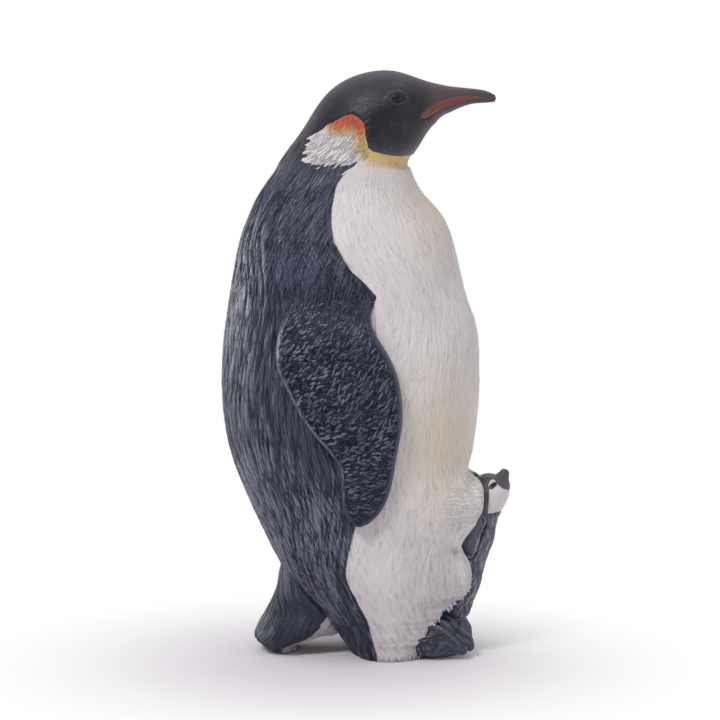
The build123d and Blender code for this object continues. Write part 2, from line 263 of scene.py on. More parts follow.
foldForm = {
    "crest": [  # height, x, distance from the middle
        (0.1, 8.0, 8.0), (2.8, 9.5, 8.2), (5.2, 10.1, 8.2), (6.7, 11.3, 7.8), (8.1, 12.9, 6.8),
        (10.0, 15.5, 6.0), (11.2, 16.1, 5.8), (13.0, 16.2, 5.9), (14.8, 15.8, 6.1), (16.2, 15.1, 6.4),
        (17.3, 14.6, 6.7), (18.2, 14.9, 6.6), (19.4, 15.8, 6.3), (20.7, 16.7, 5.9), (22.1, 17.5, 5.4),
        (23.6, 18.0, 5.0), (25.3, 18.0, 4.6), (26.0, 17.95, 4.0), (26.6, 17.8, 3.2), (27.1, 17.4, 2.2),
        (27.6, 16.6, 1.2), (28.1, 15.6, 0.6), (28.8, 15.0, 0.5), (30.0, 14.9, 0.5),
    ],
    "spread": 3.4,  # how far back the fold is raised
    "wall": 1.1,
    "hollow": 2.4,  # depth of the hollow that the chick stands in
    "liftLimits": (-0.8, 4.0),
    "ragged": 0.22,
    "seed": 21,
}


def foldCrest(z):
    crest = np.array(foldForm["crest"])
    return np.interp(z, crest[:, 0], crest[:, 1]), np.interp(z, crest[:, 0], crest[:, 2])


def foldBelly():
    f = foldForm
    belly = np.arange(bodyForm["backColumns"], bodyColumns)
    pick = np.random.default_rng(f["seed"])
    top = f["crest"][-1][0]
    for row in range(torsoRowCount):
        z = bodyPoints[row, 0, 2]
        if z > top + 2:
            break
        line = bodyPoints[row, belly]
        for side in (-1, 1):
            half = np.where(line[:, 1] <= 0 if side < 0 else line[:, 1] > 0)[0]
            half = half[np.argsort(abs(line[half, 1]))]
            away, x = abs(line[half, 1]), line[half, 0]
            ahead, middle = foldCrest(z)
            ahead = ahead + pick.normal(0, f["ragged"]) * easeStep(13, 9, z)
            lift = np.clip(ahead - np.interp(middle, away, x), *f["liftLimits"])
            lift = lift * easeStep(top + 1.5, top - 1.5, z)
            raised = np.exp(-(np.clip(away - middle, 0, None) / f["spread"]) ** 2)
            inside = easeStep(middle, middle - f["wall"], away) * easeStep(0.8, 2.2, middle)
            sunk = -f["hollow"] * easeStep(top - 0.5, top - 4, z)
            change = lift * raised * (1 - inside) + sunk * inside
            bodyPoints[row, belly[half], 0] += change * easeStep(0, 4, x)


foldBelly()


def gridNormals(points):
    down = np.gradient(points, axis=0)
    across = np.roll(points, -1, axis=1) - np.roll(points, 1, axis=1)
    normal = np.cross(across, down)
    return normal / np.maximum(np.linalg.norm(normal, axis=2), 1e-9)[..., None]


bodyNormals = gridNormals(bodyPoints)
columnWidth = np.linalg.norm(np.roll(bodyPoints, -1, axis=1) - bodyPoints, axis=2)
rowHeight = np.linalg.norm(np.gradient(bodyPoints, axis=0), axis=2)


# paint lines in side view, x and height in millimetres; both sides of the figure are painted alike

paintLines = {
    "chest": [
        (1.8, -2), (1.6, 1.1), (0.9, 3.6), (0.5, 5.2), (0.1, 6.9), (-1.45, 9.8), (-2.6, 12.1),
        (-3.1, 13.6), (-3.1, 15.2), (-2.75, 17.2), (-2.3, 19.2), (-1.8, 21.4), (-0.9, 30), (-0.6, 42),
        (-0.4, 50), (0.4, 53.5), (1.5, 56.7), (-0.4, 58.8), (-2.2, 60.4), (-3.4, 62.2), (-4.9, 64.8),
        (-5.3, 67.5), (-5.2, 70), (-4.5, 73), (-3.6, 74.4), (-1.8, 76), (-1.0, 77),
    ],
    "hood": [
        (30, 77.1), (6.3, 77.1), (4.6, 77.1), (3.2, 77.4), (1.1, 77.9), (0.2, 78.5), (-0.2, 80.3),
        (-0.4, 82.2), (-1.3, 83.1), (-2.2, 83.6), (-6, 80), (-9.5, 74), (-30, 74), (-30, 100), (30, 100),
    ],
    "ear": [
        (-2.2, 83.6), (-3.4, 83.2), (-5.8, 82), (-7.5, 80.8), (-8.7, 79.6), (-9.4, 77.9), (-9.2, 76.4),
        (-8.3, 75.8), (-6.4, 75.9), (-3.6, 76), (-1.8, 76.2), (0.4, 77), (0.2, 78.5), (-0.2, 80.3),
        (-0.4, 82.2), (-1.3, 83.1),
    ],
    "earFront": [(-1.6, 83.3), (-0.4, 82.2), (-0.2, 80.3), (0.2, 78.5), (1.1, 77.9)],
    "collar": [(0.2, 78.5), (1.1, 77.9), (3.2, 77.4), (4.6, 77.1), (6.3, 77.1), (9, 77.1)],
    "flame": [(-4.2, 83.0), (-1.9, 83.5), (-0.7, 82.6)],
    "plate": [
        (8.3, 83.3), (9.7, 84.5), (11.4, 85.3), (13.7, 86.0), (16.1, 86.1), (18.6, 85.7),
        (16.3, 85.55), (14.1, 85.15), (11.6, 84.1), (9.3, 82.85), (8.4, 82.7),
    ],
}
# soft marks in side view: middle and reach, each as x and height
paintSpots = {
    "shoulderFold": ((-1, 58), (5, 2.2)),
    "shoulderStrokes": ((-4, 55), (6, 4.5)),
    "napeBrush": ((-7, 73.6), (2.6, 1.3)),
    "napeShade": ((-3.4, 74.2), (1.3, 1.6)),
    "warmBelly": ((11, 34), (5, 9)),
    "warmChest": ((10, 69), (4, 6)),
}


def lineGap(x, z, line, closed=False):
    # shortest distance to a line of points
    line = np.array(line, float)
    ends = np.roll(line, -1, axis=0) if closed else line[1:]
    best = np.full(np.shape(x), 1e9)
    for (ax, az), (bx, bz) in zip(line, ends):
        dx, dz = bx - ax, bz - az
        share = np.clip(((x - ax) * dx + (z - az) * dz) / (dx ** 2 + dz ** 2), 0, 1)
        best = np.minimum(best, np.hypot(x - ax - share * dx, z - az - share * dz))
    return best


def areaGap(x, z, line):
    # distance to the edge of an area, more than zero inside it
    line = np.array(line, float)
    inside = np.zeros(np.shape(x), bool)
    for (ax, az), (bx, bz) in zip(line, np.roll(line, -1, axis=0)):
        if az != bz:
            crossing = ((az > z) != (bz > z)) & (x < (bx - ax) * (z - az) / (bz - az) + ax)
            inside ^= crossing
    return np.where(inside, 1, -1) * lineGap(x, z, line, True)


bodyX, bodyY, bodyZ = bodyPoints[..., 0], bodyPoints[..., 1], bodyPoints[..., 2]
chestLine = np.array(paintLines["chest"], float)
chestSide = np.sign(bodyX - np.interp(bodyZ, chestLine[:, 1], chestLine[:, 0]))
chestGap = chestSide * lineGap(bodyX, bodyZ, paintLines["chest"])
hoodGap = areaGap(bodyX, bodyZ, paintLines["hood"])
earGap = areaGap(bodyX, bodyZ, paintLines["ear"])
plateGap = areaGap(bodyX, bodyZ, paintLines["plate"])
paleGap = np.maximum(np.minimum(chestGap, -hoodGap), earGap)
earFrontGap = lineGap(bodyX, bodyZ, paintLines["earFront"])
collarGap = lineGap(bodyX, bodyZ, paintLines["collar"])
print("paint lines laid")


# carved plumage: strokes pressed into the body's skin

def scatterPlaces(chance, cells, seed, count):
    weight = (chance * cells[0] * cells[1]).ravel()
    places = np.random.default_rng(seed).choice(weight.size, count, p=weight / weight.sum())
    return [divmod(int(place), chance.shape[1]) for place in places]


def carveStrokes(field, cells, chance, seed, count, length, width, depth, turn, raised=False):
    # cells holds each point's row height, column width and which way is forwards
    # turn is in degrees from upright, forwards
    rowSize, columnSize, forwards = cells
    pick = np.random.default_rng(seed + 1000)
    rows, columns = field.shape
    for r, c in scatterPlaces(chance, cells, seed, count):
        long, wide, deep = pick.uniform(*length), pick.uniform(*width), pick.uniform(*depth)
        angle = math.radians(pick.normal(*turn)) * forwards[r, c]
        bend = pick.normal(0, 0.05) * min(1, 3 / long)
        cos, sin = math.cos(angle), math.sin(angle)
        high, broad = abs(cos) * long + abs(sin) * wide, abs(sin) * long + abs(cos) * wide
        rowsAway = int(high / 2 / rowSize[r, c]) + 1
        columnsAway = min(int(broad / 2 / columnSize[r, c]) + 2, 60)
        rr = np.arange(max(r - rowsAway, 0), min(r + rowsAway + 1, rows))
        cc = np.arange(c - columnsAway, c + columnsAway + 1)
        up = ((rr - r) * rowSize[r, c])[:, None]
        over = ((cc - c) * columnSize[r, c])[None, :]
        along = up * cos + over * sin
        off = (over * cos - up * sin - bend * along * along) / (wide / 2)
        share = np.clip(along / long + 0.5, 0, 1)
        across = np.clip(1 - off * off, 0, 1) ** 1.5
        mark = across * np.clip(np.sin(math.pi * share), 0, 1) ** 0.6 * deep
        spot = np.ix_(rr, cc % columns)
        field[spot] = np.maximum(field[spot], mark) if raised else np.minimum(field[spot], -mark)


plumageForm = {
    # steps across and along, seed, line width, height and depth
    "backStrands": (4.4, 17, 1, 0.33, 0.09, 0.15),
    "bellyStrands": (3.6, 7, 5, 0.4, 0.03, 0.06),
    # by area: seed, how many, length, width, depth, lean in degrees from upright and its spread
    "strokes": {
        "back": (1, 3600, (2, 7), (0.34, 0.55), (0.05, 0.16), (0, 5)),
        "shoulder": (2, 420, (1, 2.6), (0.32, 0.5), (0.04, 0.11), (14, 14)),
        "shoulderFold": (12, 45, (2, 4.5), (0.28, 0.42), (0.06, 0.16), (52, 8)),
        "lowBack": (3, 700, (2, 5), (0.34, 0.55), (0.06, 0.16), (-6, 11)),
        "upperBelly": (4, 5200, (0.8, 2.6), (0.32, 0.5), (0.04, 0.11), (-14, 12)),
        "hem": (6, 1500, (1.6, 4.5), (0.38, 0.62), (0.05, 0.15), (-28, 12)),
        "pouch": (10, 420, (1.6, 3.4), (0.42, 0.66), (0.03, 0.08), (-66, 9)),
        "nape": (8, 1500, (0.8, 2.2), (0.3, 0.5), (0.004, 0.016), (0, 24)),
        "ear": (9, 520, (1.2, 3.0), (0.40, 0.66), (0.06, 0.16), (48, 13)),
    },
    "ridges": {
        "belly": (5, 1733, (0.8, 2.4), (0.36, 0.6), (0.03, 0.08), (-14, 12)),
        "hem": (7, 750, (1.6, 4), (0.5, 0.8), (0.03, 0.08), (-28, 12)),
        "pouch": (11, 210, (1.2, 2.4), (0.42, 0.7), (0.02, 0.06), (-66, 9)),
    },
    "pouchPit": (13.6, 17.0, 0.35),  # x, height and depth, between the pouch's two lobes
    "hoodLip": 0.16,
    "plateDepth": (0.09, 0.12),  # of the beak plate and of the line round it
    "eye": (4.65, 86.0),
    "eyeSize": (1.55, 0.95),
    "eyeTilt": -6,
    # height, place and width of the lids and of the line inside them
    "lids": [(0.15, 1.0, 0.17), (-0.12, 0.72, 0.1)],
    "ball": (0.26, 0.64),  # height and size in the lids
}


def strandRelief(across, along, seed, line, height, depth):
    # branching grooves between strands, where a drawn-out noise crosses zero
    shape = bodyX.shape
    wander = 0.9 * gridNoise(shape, 34, 26, seed)
    noise = gridNoise(shape, across, along, seed + 1, wander)
    noise += 0.45 * gridNoise(shape, across / 2, along / 2, seed + 2, 2 * wander)
    return height * np.clip(abs(noise), 0, 1.2) - depth * np.exp(-(noise / line) ** 2)


def carveBody():
    f = plumageForm
    forwards = np.where(bodyY > 0, -1.0, 1.0)
    cells = (rowHeight, columnWidth, forwards)
    grooves, ridges = np.zeros_like(bodyX), np.zeros_like(bodyX)
    dark, pale = paleGap < -0.2, paleGap > 0.2
    nape = (bodyX < -1) | (bodyZ < 73)
    back = dark * nape * easeStep(80, 75, bodyZ)
    low = easeStep(34, 14, bodyZ)
    shoulder = back * easeStep(50, 60, bodyZ) * easeStep(-14, -9, bodyX)
    front = easeStep(2, 9, bodyX)
    patchy = np.clip(gridNoise(bodyX.shape, 40, 40, 9), -1, 1)
    amount = back * (1 - 0.45 * shoulder) * (0.75 + 0.25 * patchy)
    strands = amount * strandRelief(*f["backStrands"])
    belly = pale & (bodyZ < 76)
    strands += belly * strandRelief(*f["bellyStrands"])
    pouch = belly * easeStep(31, 28, bodyZ) * easeStep(17, 19, bodyZ) * easeStep(9.5, 12, bodyX)
    crown = dark & (bodyZ > 74) & (bodyX < -4)
    areas = {
        "back": back * (1 - 0.6 * shoulder),
        "shoulder": shoulder,
        "shoulderFold": dark * softSpot(bodyX, bodyZ, *paintSpots["shoulderFold"]),
        "lowBack": back * low,
        "belly": belly,
        "upperBelly": belly * (0.5 + easeStep(44, 54, bodyZ)),
        "hem": belly * (0.2 * easeStep(30, 24, bodyZ) + low * (0.4 + front)) * (1 - pouch),
        "pouch": pouch,
        "nape": crown * easeStep(89, 80, bodyZ),
        "ear": earGap > -0.1,
    }
    for area, stroke in f["strokes"].items():
        carveStrokes(grooves, cells, areas[area], *stroke)
    for area, stroke in f["ridges"].items():
        carveStrokes(ridges, cells, areas[area], *stroke, raised=True)
    # nearly plain where the head meets the neck
    meeting = np.exp(-((np.arange(bodyRows) - torsoRowCount + 1) / 5.0) ** 2)[:, None]
    heights = (grooves + ridges + strands) * (1 - 0.8 * meeting)
    pitX, pitZ, pitDepth = f["pouchPit"]
    heights -= pitDepth * np.exp(-((bodyX - pitX) ** 2 + (bodyZ - pitZ) ** 2) / 0.16) * (bodyX > 10)
    # raised lip along the hood's edge
    lip = easeStep(-0.1, 0.12, hoodGap) * np.exp(-np.clip(hoodGap, 0, None) / 1.6)
    lip = lip * easeStep(-4, -1.5, bodyX)
    heights += f["hoodLip"] * lip * (bodyZ > 76) * (bodyZ < 85)
    # the beak plate is set in, with a line round it
    plateDepth, lineDepth = f["plateDepth"]
    heights -= plateDepth * easeStep(0, 0.3, plateGap) + lineDepth * np.exp(-(plateGap / 0.16) ** 2)
    # eye ball inside an almond lid
    tilt = math.radians(f["eyeTilt"])
    right, up = bodyX - f["eye"][0], bodyZ - f["eye"][1]
    ahead = right * math.cos(tilt) + up * math.sin(tilt)
    above = up * math.cos(tilt) - right * math.sin(tilt)
    wide, high = f["eyeSize"]
    squeeze = np.clip(1 - 0.55 * (ahead / wide) ** 2, 0.3, 1)
    ring = np.hypot(ahead / wide, above / (high * squeeze))
    onFace = (bodyX > 0) & (bodyZ > 82)
    for tall, place, width in f["lids"]:
        heights += onFace * tall * np.exp(-((ring - place) / width) ** 2)
    tall, size = f["ball"]
    heights += onFace * tall * np.sqrt(np.clip(1 - (ring / size) ** 2, 0, 1))
    return heights, ring


bodyHeights, eyeRing = carveBody()
bodySkin = bodyPoints + bodyNormals * bodyHeights[..., None]
skinNormals = gridNormals(bodySkin)
print("plumage carved, relief", round(bodyHeights.min(), 2), "to", round(bodyHeights.max(), 2))


# meshes and materials

def setRim(piece, start, normals):
    # shade a rim as part of the whole body, so that no line shows where two pieces meet
    ways = np.zeros((len(piece.data.vertices), 3))
    ways[start:start + len(normals)] = normals
    piece.data.normals_split_custom_set_from_vertices(ways.tolist())


def makeMesh(name, points, faces, skinCount=None):
    # faces after the skin's own are edges and inner walls, which stay flat
    mesh = bpy.data.meshes.new(name)
    mesh.from_pydata([tuple(p) for p in np.asarray(points) * mm], [], faces)
    count = len(faces)
    skinCount = count if skinCount is None else skinCount
    mesh.polygons.foreach_set("use_smooth", [i < skinCount for i in range(count)])
    piece = bpy.data.objects.new(name, mesh)
    bpy.context.scene.collection.objects.link(piece)
    return piece


def addField(piece, name, values, rest=0.0):
    # points past the values are inside, where no paint shows
    full = np.full(len(piece.data.vertices), rest, np.float32)
    full[:np.size(values)] = np.ravel(values)
    field = piece.data.attributes.new(name, "FLOAT", "POINT")
    field.data.foreach_set("value", full)


def addVectors(piece, name, values):
    full = np.zeros((len(piece.data.vertices), 3), np.float32)
    values = np.asarray(values, np.float32).reshape(-1, 3)
    full[:len(values)] = values
    field = piece.data.attributes.new(name, "FLOAT_VECTOR", "POINT")
    field.data.foreach_set("vector", full.ravel())


def putNode(tree, kind, inputs=None, **settings):
    node = tree.nodes.new("ShaderNode" + kind)
    for key, value in settings.items():
        setattr(node, key, value)
    for key, value in (inputs or {}).items():
        if isinstance(value, bpy.types.NodeSocket):
            tree.links.new(value, node.inputs[key])
        else:
            node.inputs[key].default_value = value
    return node


def fieldOf(tree, name):
    return putNode(tree, "Attribute", attribute_name=name).outputs["Fac"]


def calc(tree, operation, a, b=0.0, c=0.0):
    return putNode(tree, "Math", {0: a, 1: b, 2: c}, operation=operation).outputs[0]


def ease(tree, value, low, high, top=1.0):
    spread = {"Value": value, "From Min": low, "From Max": high, "To Min": 0.0, "To Max": top}
    return putNode(tree, "MapRange", spread, interpolation_type="SMOOTHSTEP").outputs[0]


def plusPart(tree, base, value, amount, middle=0.5):
    # the base with an amount of what a value has above its middle
    return calc(tree, "MULTIPLY_ADD", calc(tree, "SUBTRACT", value, middle), amount, base)


def awayFrom(tree, value, middle=0.5):
    return calc(tree, "ABSOLUTE", calc(tree, "SUBTRACT", value, middle))


def partOf(tree, value, amount):
    return calc(tree, "MULTIPLY", value, amount)


def mixPaint(tree, share, a, b):
    a, b = ((*c, 1.0) if isinstance(c, tuple) and len(c) == 3 else c for c in (a, b))
    return putNode(tree, "Mix", {0: share, 6: a, 7: b}, data_type="RGBA").outputs[2]


def noiseOf(tree, place, scale, detail=2.0, rough=0.5, stretch=None):
    if stretch is not None:
        place = putNode(tree, "VectorMath", {0: place, 1: stretch}, operation="MULTIPLY").outputs[0]
    inputs = {"Vector": place, "Scale": scale, "Detail": detail, "Roughness": rough}
    return putNode(tree, "TexNoise", inputs).outputs[0]


def objectPlace(tree):
    return putNode(tree, "TexCoord").outputs["Object"]


def wayOf(tree, name):
    return putNode(tree, "Attribute", attribute_name=name).outputs["Vector"]


def newFinish(name):
    finish = bpy.data.materials.new(name)
    finish.use_nodes = True
    tree = finish.node_tree
    return finish, tree, tree.nodes["Principled BSDF"]


def bumpFrom(tree, height, strength, distance):
    inputs = {"Height": height, "Strength": strength, "Distance": distance}
    return putNode(tree, "Bump", inputs).outputs[0]


def wearSurface(tree, surface, colour, roughness, normal, gloss):
    tree.links.new(colour, surface.inputs["Base Color"])
    tree.links.new(roughness, surface.inputs["Roughness"])
    tree.links.new(normal, surface.inputs["Normal"])
    surface.inputs["Specular IOR Level"].default_value = gloss


def gridFaces(rows, columns, start=0, wrap=False):
    # quads that face outwards for rows that climb and columns that run anticlockwise seen from above
    index = start + np.arange(rows * columns).reshape(rows, columns)
    if wrap:
        index = np.concatenate([index, index[:, :1]], axis=1)
    a, b = index[:-1, :-1], index[:-1, 1:]
    c, d = index[1:, 1:], index[1:, :-1]
    return np.stack([a, b, c, d], axis=-1).reshape(-1, 4).tolist()


def closedFaces(rows, columns):
    # grid that closes round itself, and fans to an end point below and then one above
    faces = gridFaces(rows, columns, wrap=True)
    last, end = (rows - 1) * columns, rows * columns
    for j in range(columns):
        k = (j + 1) % columns
        faces += [[last + j, last + k, end + 1], [k, j, end]]
    return faces


def stitch(fine, coarse):
    # triangles between two lines of points that start and end together
    faces, i, j = [], 0, 0
    while i < len(fine) - 1 or j < len(coarse) - 1:
        nextFine = (i + 1) / (len(fine) - 1) if i < len(fine) - 1 else 9.0
        nextCoarse = (j + 1) / (len(coarse) - 1) if j < len(coarse) - 1 else 9.0
        if nextFine <= nextCoarse:
            faces.append([fine[i], fine[i + 1], coarse[j]])
            i += 1
        else:
            faces.append([fine[i], coarse[j + 1], coarse[j]])
            j += 1
    return faces


def skinFaces(rows, count, inCount):
    # outer grid, inner grid after it, and the closed edges between them
    first = rows * count
    faces = gridFaces(rows, count)
    faces += [face[::-1] for face in gridFaces(rows, inCount, first)]
    outer = np.arange(first).reshape(rows, count)
    inner = first + np.arange(rows * inCount).reshape(rows, inCount)
    for i in range(rows - 1):
        faces.append([inner[i, 0], outer[i, 0], outer[i + 1, 0], inner[i + 1, 0]])
        faces.append([outer[i, -1], inner[i, -1], inner[i + 1, -1], outer[i + 1, -1]])
    faces += [face[::-1] for face in stitch(outer[0].tolist(), inner[0].tolist())]
    faces += stitch(outer[-1].tolist(), inner[-1].tolist())
    return faces


shellForm = {"wall": 1.8, "floor": 3.0, "innerColumns": 12}


def makeShell(name, columns):
    # outer skin from the body grid, a coarse inner wall and closed edges
    outer = bodySkin[:torsoRowCount][:, columns]
    rows, count = outer.shape[:2]
    share = np.linspace(0, 1, shellForm["innerColumns"])
    picked = np.round(share * (count - 1)).astype(int)
    base = bodyPoints[:torsoRowCount][:, columns]
    middle = bodyCentres[:torsoRowCount, None, :]
    outward = base[:, picked] - middle
    length = np.linalg.norm(outward, axis=2)[..., None]
    inner = middle + outward * (1 - shellForm["wall"] / length)
    share = share[None, :, None]
    chord = base[:, :1] * (1 - share) + base[:, -1:] * share
    low = (base[:, 0, 2] < shellForm["floor"])[:, None, None]
    inner = np.where(low, chord, inner)
    points = np.concatenate([outer.reshape(-1, 3), inner.reshape(-1, 3)])
    piece = makeMesh(name, points, skinFaces(rows, count, inner.shape[1]), (rows - 1) * (count - 1))
    paintBody(piece, [np.ix_(np.arange(torsoRowCount), columns)])
    setRim(piece, (rows - 1) * count, skinNormals[torsoRowCount - 1, columns])
    return piece


bodyFields = {
    "pale": paleGap,
    "fray": 0.35 + 2.4 * easeStep(3, 0, lineGap(bodyX, bodyZ, paintLines["ear"][3:10])),
    "yellow": np.maximum(
        np.exp(-(collarGap / 2.1) ** 2) * easeStep(0.2, 3.0, bodyX + 3),
        np.exp(-(earFrontGap / 2.2) ** 2) * easeStep(76.5, 78, bodyZ),
    ),
    "red": easeStep(3.8, 0.3, lineGap(bodyX, bodyZ, paintLines["flame"])) * (bodyZ > 76),
    "hood": easeStep(73.5, 80.5, bodyZ),
    "beak": easeStep(7.5, 11, bodyX) * easeStep(82, 84, bodyZ),
    "plate": plateGap,
    "relief": bodyHeights,
    # painted sheen: the hood lighter towards the crown
    "dustAndTopSheen": 0.6 * easeStep(84, 89, bodyZ) * easeStep(10, 5, bodyX),
    # brushed: dry brush on the nape and the lower back, and a painted highlight that grows towards the
    # back's rear edge
    "brushed": softSpot(bodyX, bodyZ, *paintSpots["napeBrush"])
    + 0.55 * easeStep(36, 24, bodyZ)
    + 0.9 * easeStep(-11, -19, bodyX)
    + 1.3 * easeStep(36, 18, bodyZ) * easeStep(-2, -6, bodyX),
    "vaneAndShade": 0.9 * softSpot(bodyX, bodyZ, *paintSpots["napeShade"]),
    "warm": softSpot(bodyX, bodyZ, *paintSpots["warmBelly"])
    + 0.6 * softSpot(bodyX, bodyZ, *paintSpots["warmChest"]),
    # 1 along the lids
    "eye": np.where((bodyX > 0) & (bodyZ > 82), np.clip(2 - eyeRing, 0, None), 0),
}


def turnAbout(x, z, middle):
    # distance from a point in side view, and the length of the arc round it
    reach = np.hypot(x - middle[0], z - middle[1])
    return reach, np.arctan2(z - middle[1], x - middle[0]) * reach


def shoulderStrokes(x, z):
    return 0.5 * softSpot(x, z, *paintSpots["shoulderStrokes"])


# fine brush strokes run in arcs over the ear and the shoulder, and fan out over the pouch
earCentre, arcCentre, fanCentre = (-12.5, 86.0), (-14.0, 72.0), (24.0, 23.6)
onHead = bodyZ > 72
onBack = ~onHead & (paleGap < 0)
earReach, earArc = turnAbout(bodyX, bodyZ, earCentre)
shoulderReach, shoulderArc = turnAbout(bodyX, bodyZ, arcCentre)
fanReach = np.hypot(bodyX - fanCentre[0], bodyZ - fanCentre[1])
fanTurn = np.arctan2(bodyZ - fanCentre[1], fanCentre[0] - bodyX)
strokeAcross = np.where(onBack, 0.75 * shoulderReach, np.where(onHead, earReach, 5.5 * fanTurn))
strokeAlong = np.where(onBack, 1.3 * shoulderArc, np.where(onHead, earArc, fanReach))
bodyAcross = (np.arange(bodyColumns)[None, :] - bodyForm["backColumns"] / 2) * columnWidth
bodyAlong = np.cumsum(rowHeight.mean(axis=1))[:, None] * np.ones_like(bodyX)
flat = np.zeros_like(bodyX)
bodyWays = {
    "strand": np.stack([bodyAcross, bodyAlong, flat], axis=-1),
    "stroke": np.stack([strokeAcross, strokeAlong, flat], axis=-1),
}
pouchShare = easeStep(30, 26.5, bodyZ) * easeStep(17, 20, bodyZ) * easeStep(9, 15, bodyX)
fanShare = easeStep(10, 13.5, bodyX) * easeStep(18.5, 21.5, bodyZ) * easeStep(29.5, 26.5, bodyZ)
torsoShare = np.where(paleGap > 0, 0.4 * fanShare, shoulderStrokes(bodyX, bodyZ))
bodyFields["fluffed"] = 0.9 * pouchShare * (paleGap > 0) + 0.6 * (onHead & (earGap > 0))
bodyFields["stroked"] = np.where(onHead, easeStep(-0.3, 0.3, earGap), torsoShare)


def paintBody(piece, areas, ends=()):
    # areas and then single points of the body grid, in the order of the piece's own points
    for key, values in bodyFields.items():
        parts = [values[area].ravel() for area in areas] + [[values[end]] for end in ends]
        addField(piece, key, np.concatenate(parts), values[0, 0])
    for key, values in bodyWays.items():
        addVectors(piece, key, np.concatenate([values[area].reshape(-1, 3) for area in areas]))


plumagePaint = {
    "deep": (0.003, 0.0035, 0.006),
    "slate": (0.039, 0.044, 0.080),
    "bluish": (0.056, 0.063, 0.110),
    "dryBrush": (0.185, 0.19, 0.255),
    # darker paint for the flippers' vanes and the nape's dark spot, and painted shade on the tail
    "vaneAndShade": (0.029, 0.035, 0.068),
    "hood": (0.008, 0.007, 0.013),
    # lighter hood paint, for random dust and for the painted sheen on the crown
    "hoodDustAndSheen": (0.042, 0.036, 0.054),
    "lid": (0.060, 0.060, 0.075),
    "eye": (0.004, 0.004, 0.005),
    "horn": (0.060, 0.046, 0.054),
    "milk": (0.56, 0.515, 0.52),
    "cream": (0.63, 0.59, 0.60),
    "fluff": (0.74, 0.70, 0.72),
    # painted shade for the grooves and cuts in the pale plumage
    "crease": (0.36, 0.325, 0.34),
    "warm": (0.58, 0.50, 0.36),
    "yellow": (0.56, 0.385, 0.125),
    "red": (0.50, 0.068, 0.028),
    "orange": (0.50, 0.25, 0.075),
    "plate": (0.155, 0.036, 0.035),
    "plateEdge": (0.21, 0.045, 0.038),
}


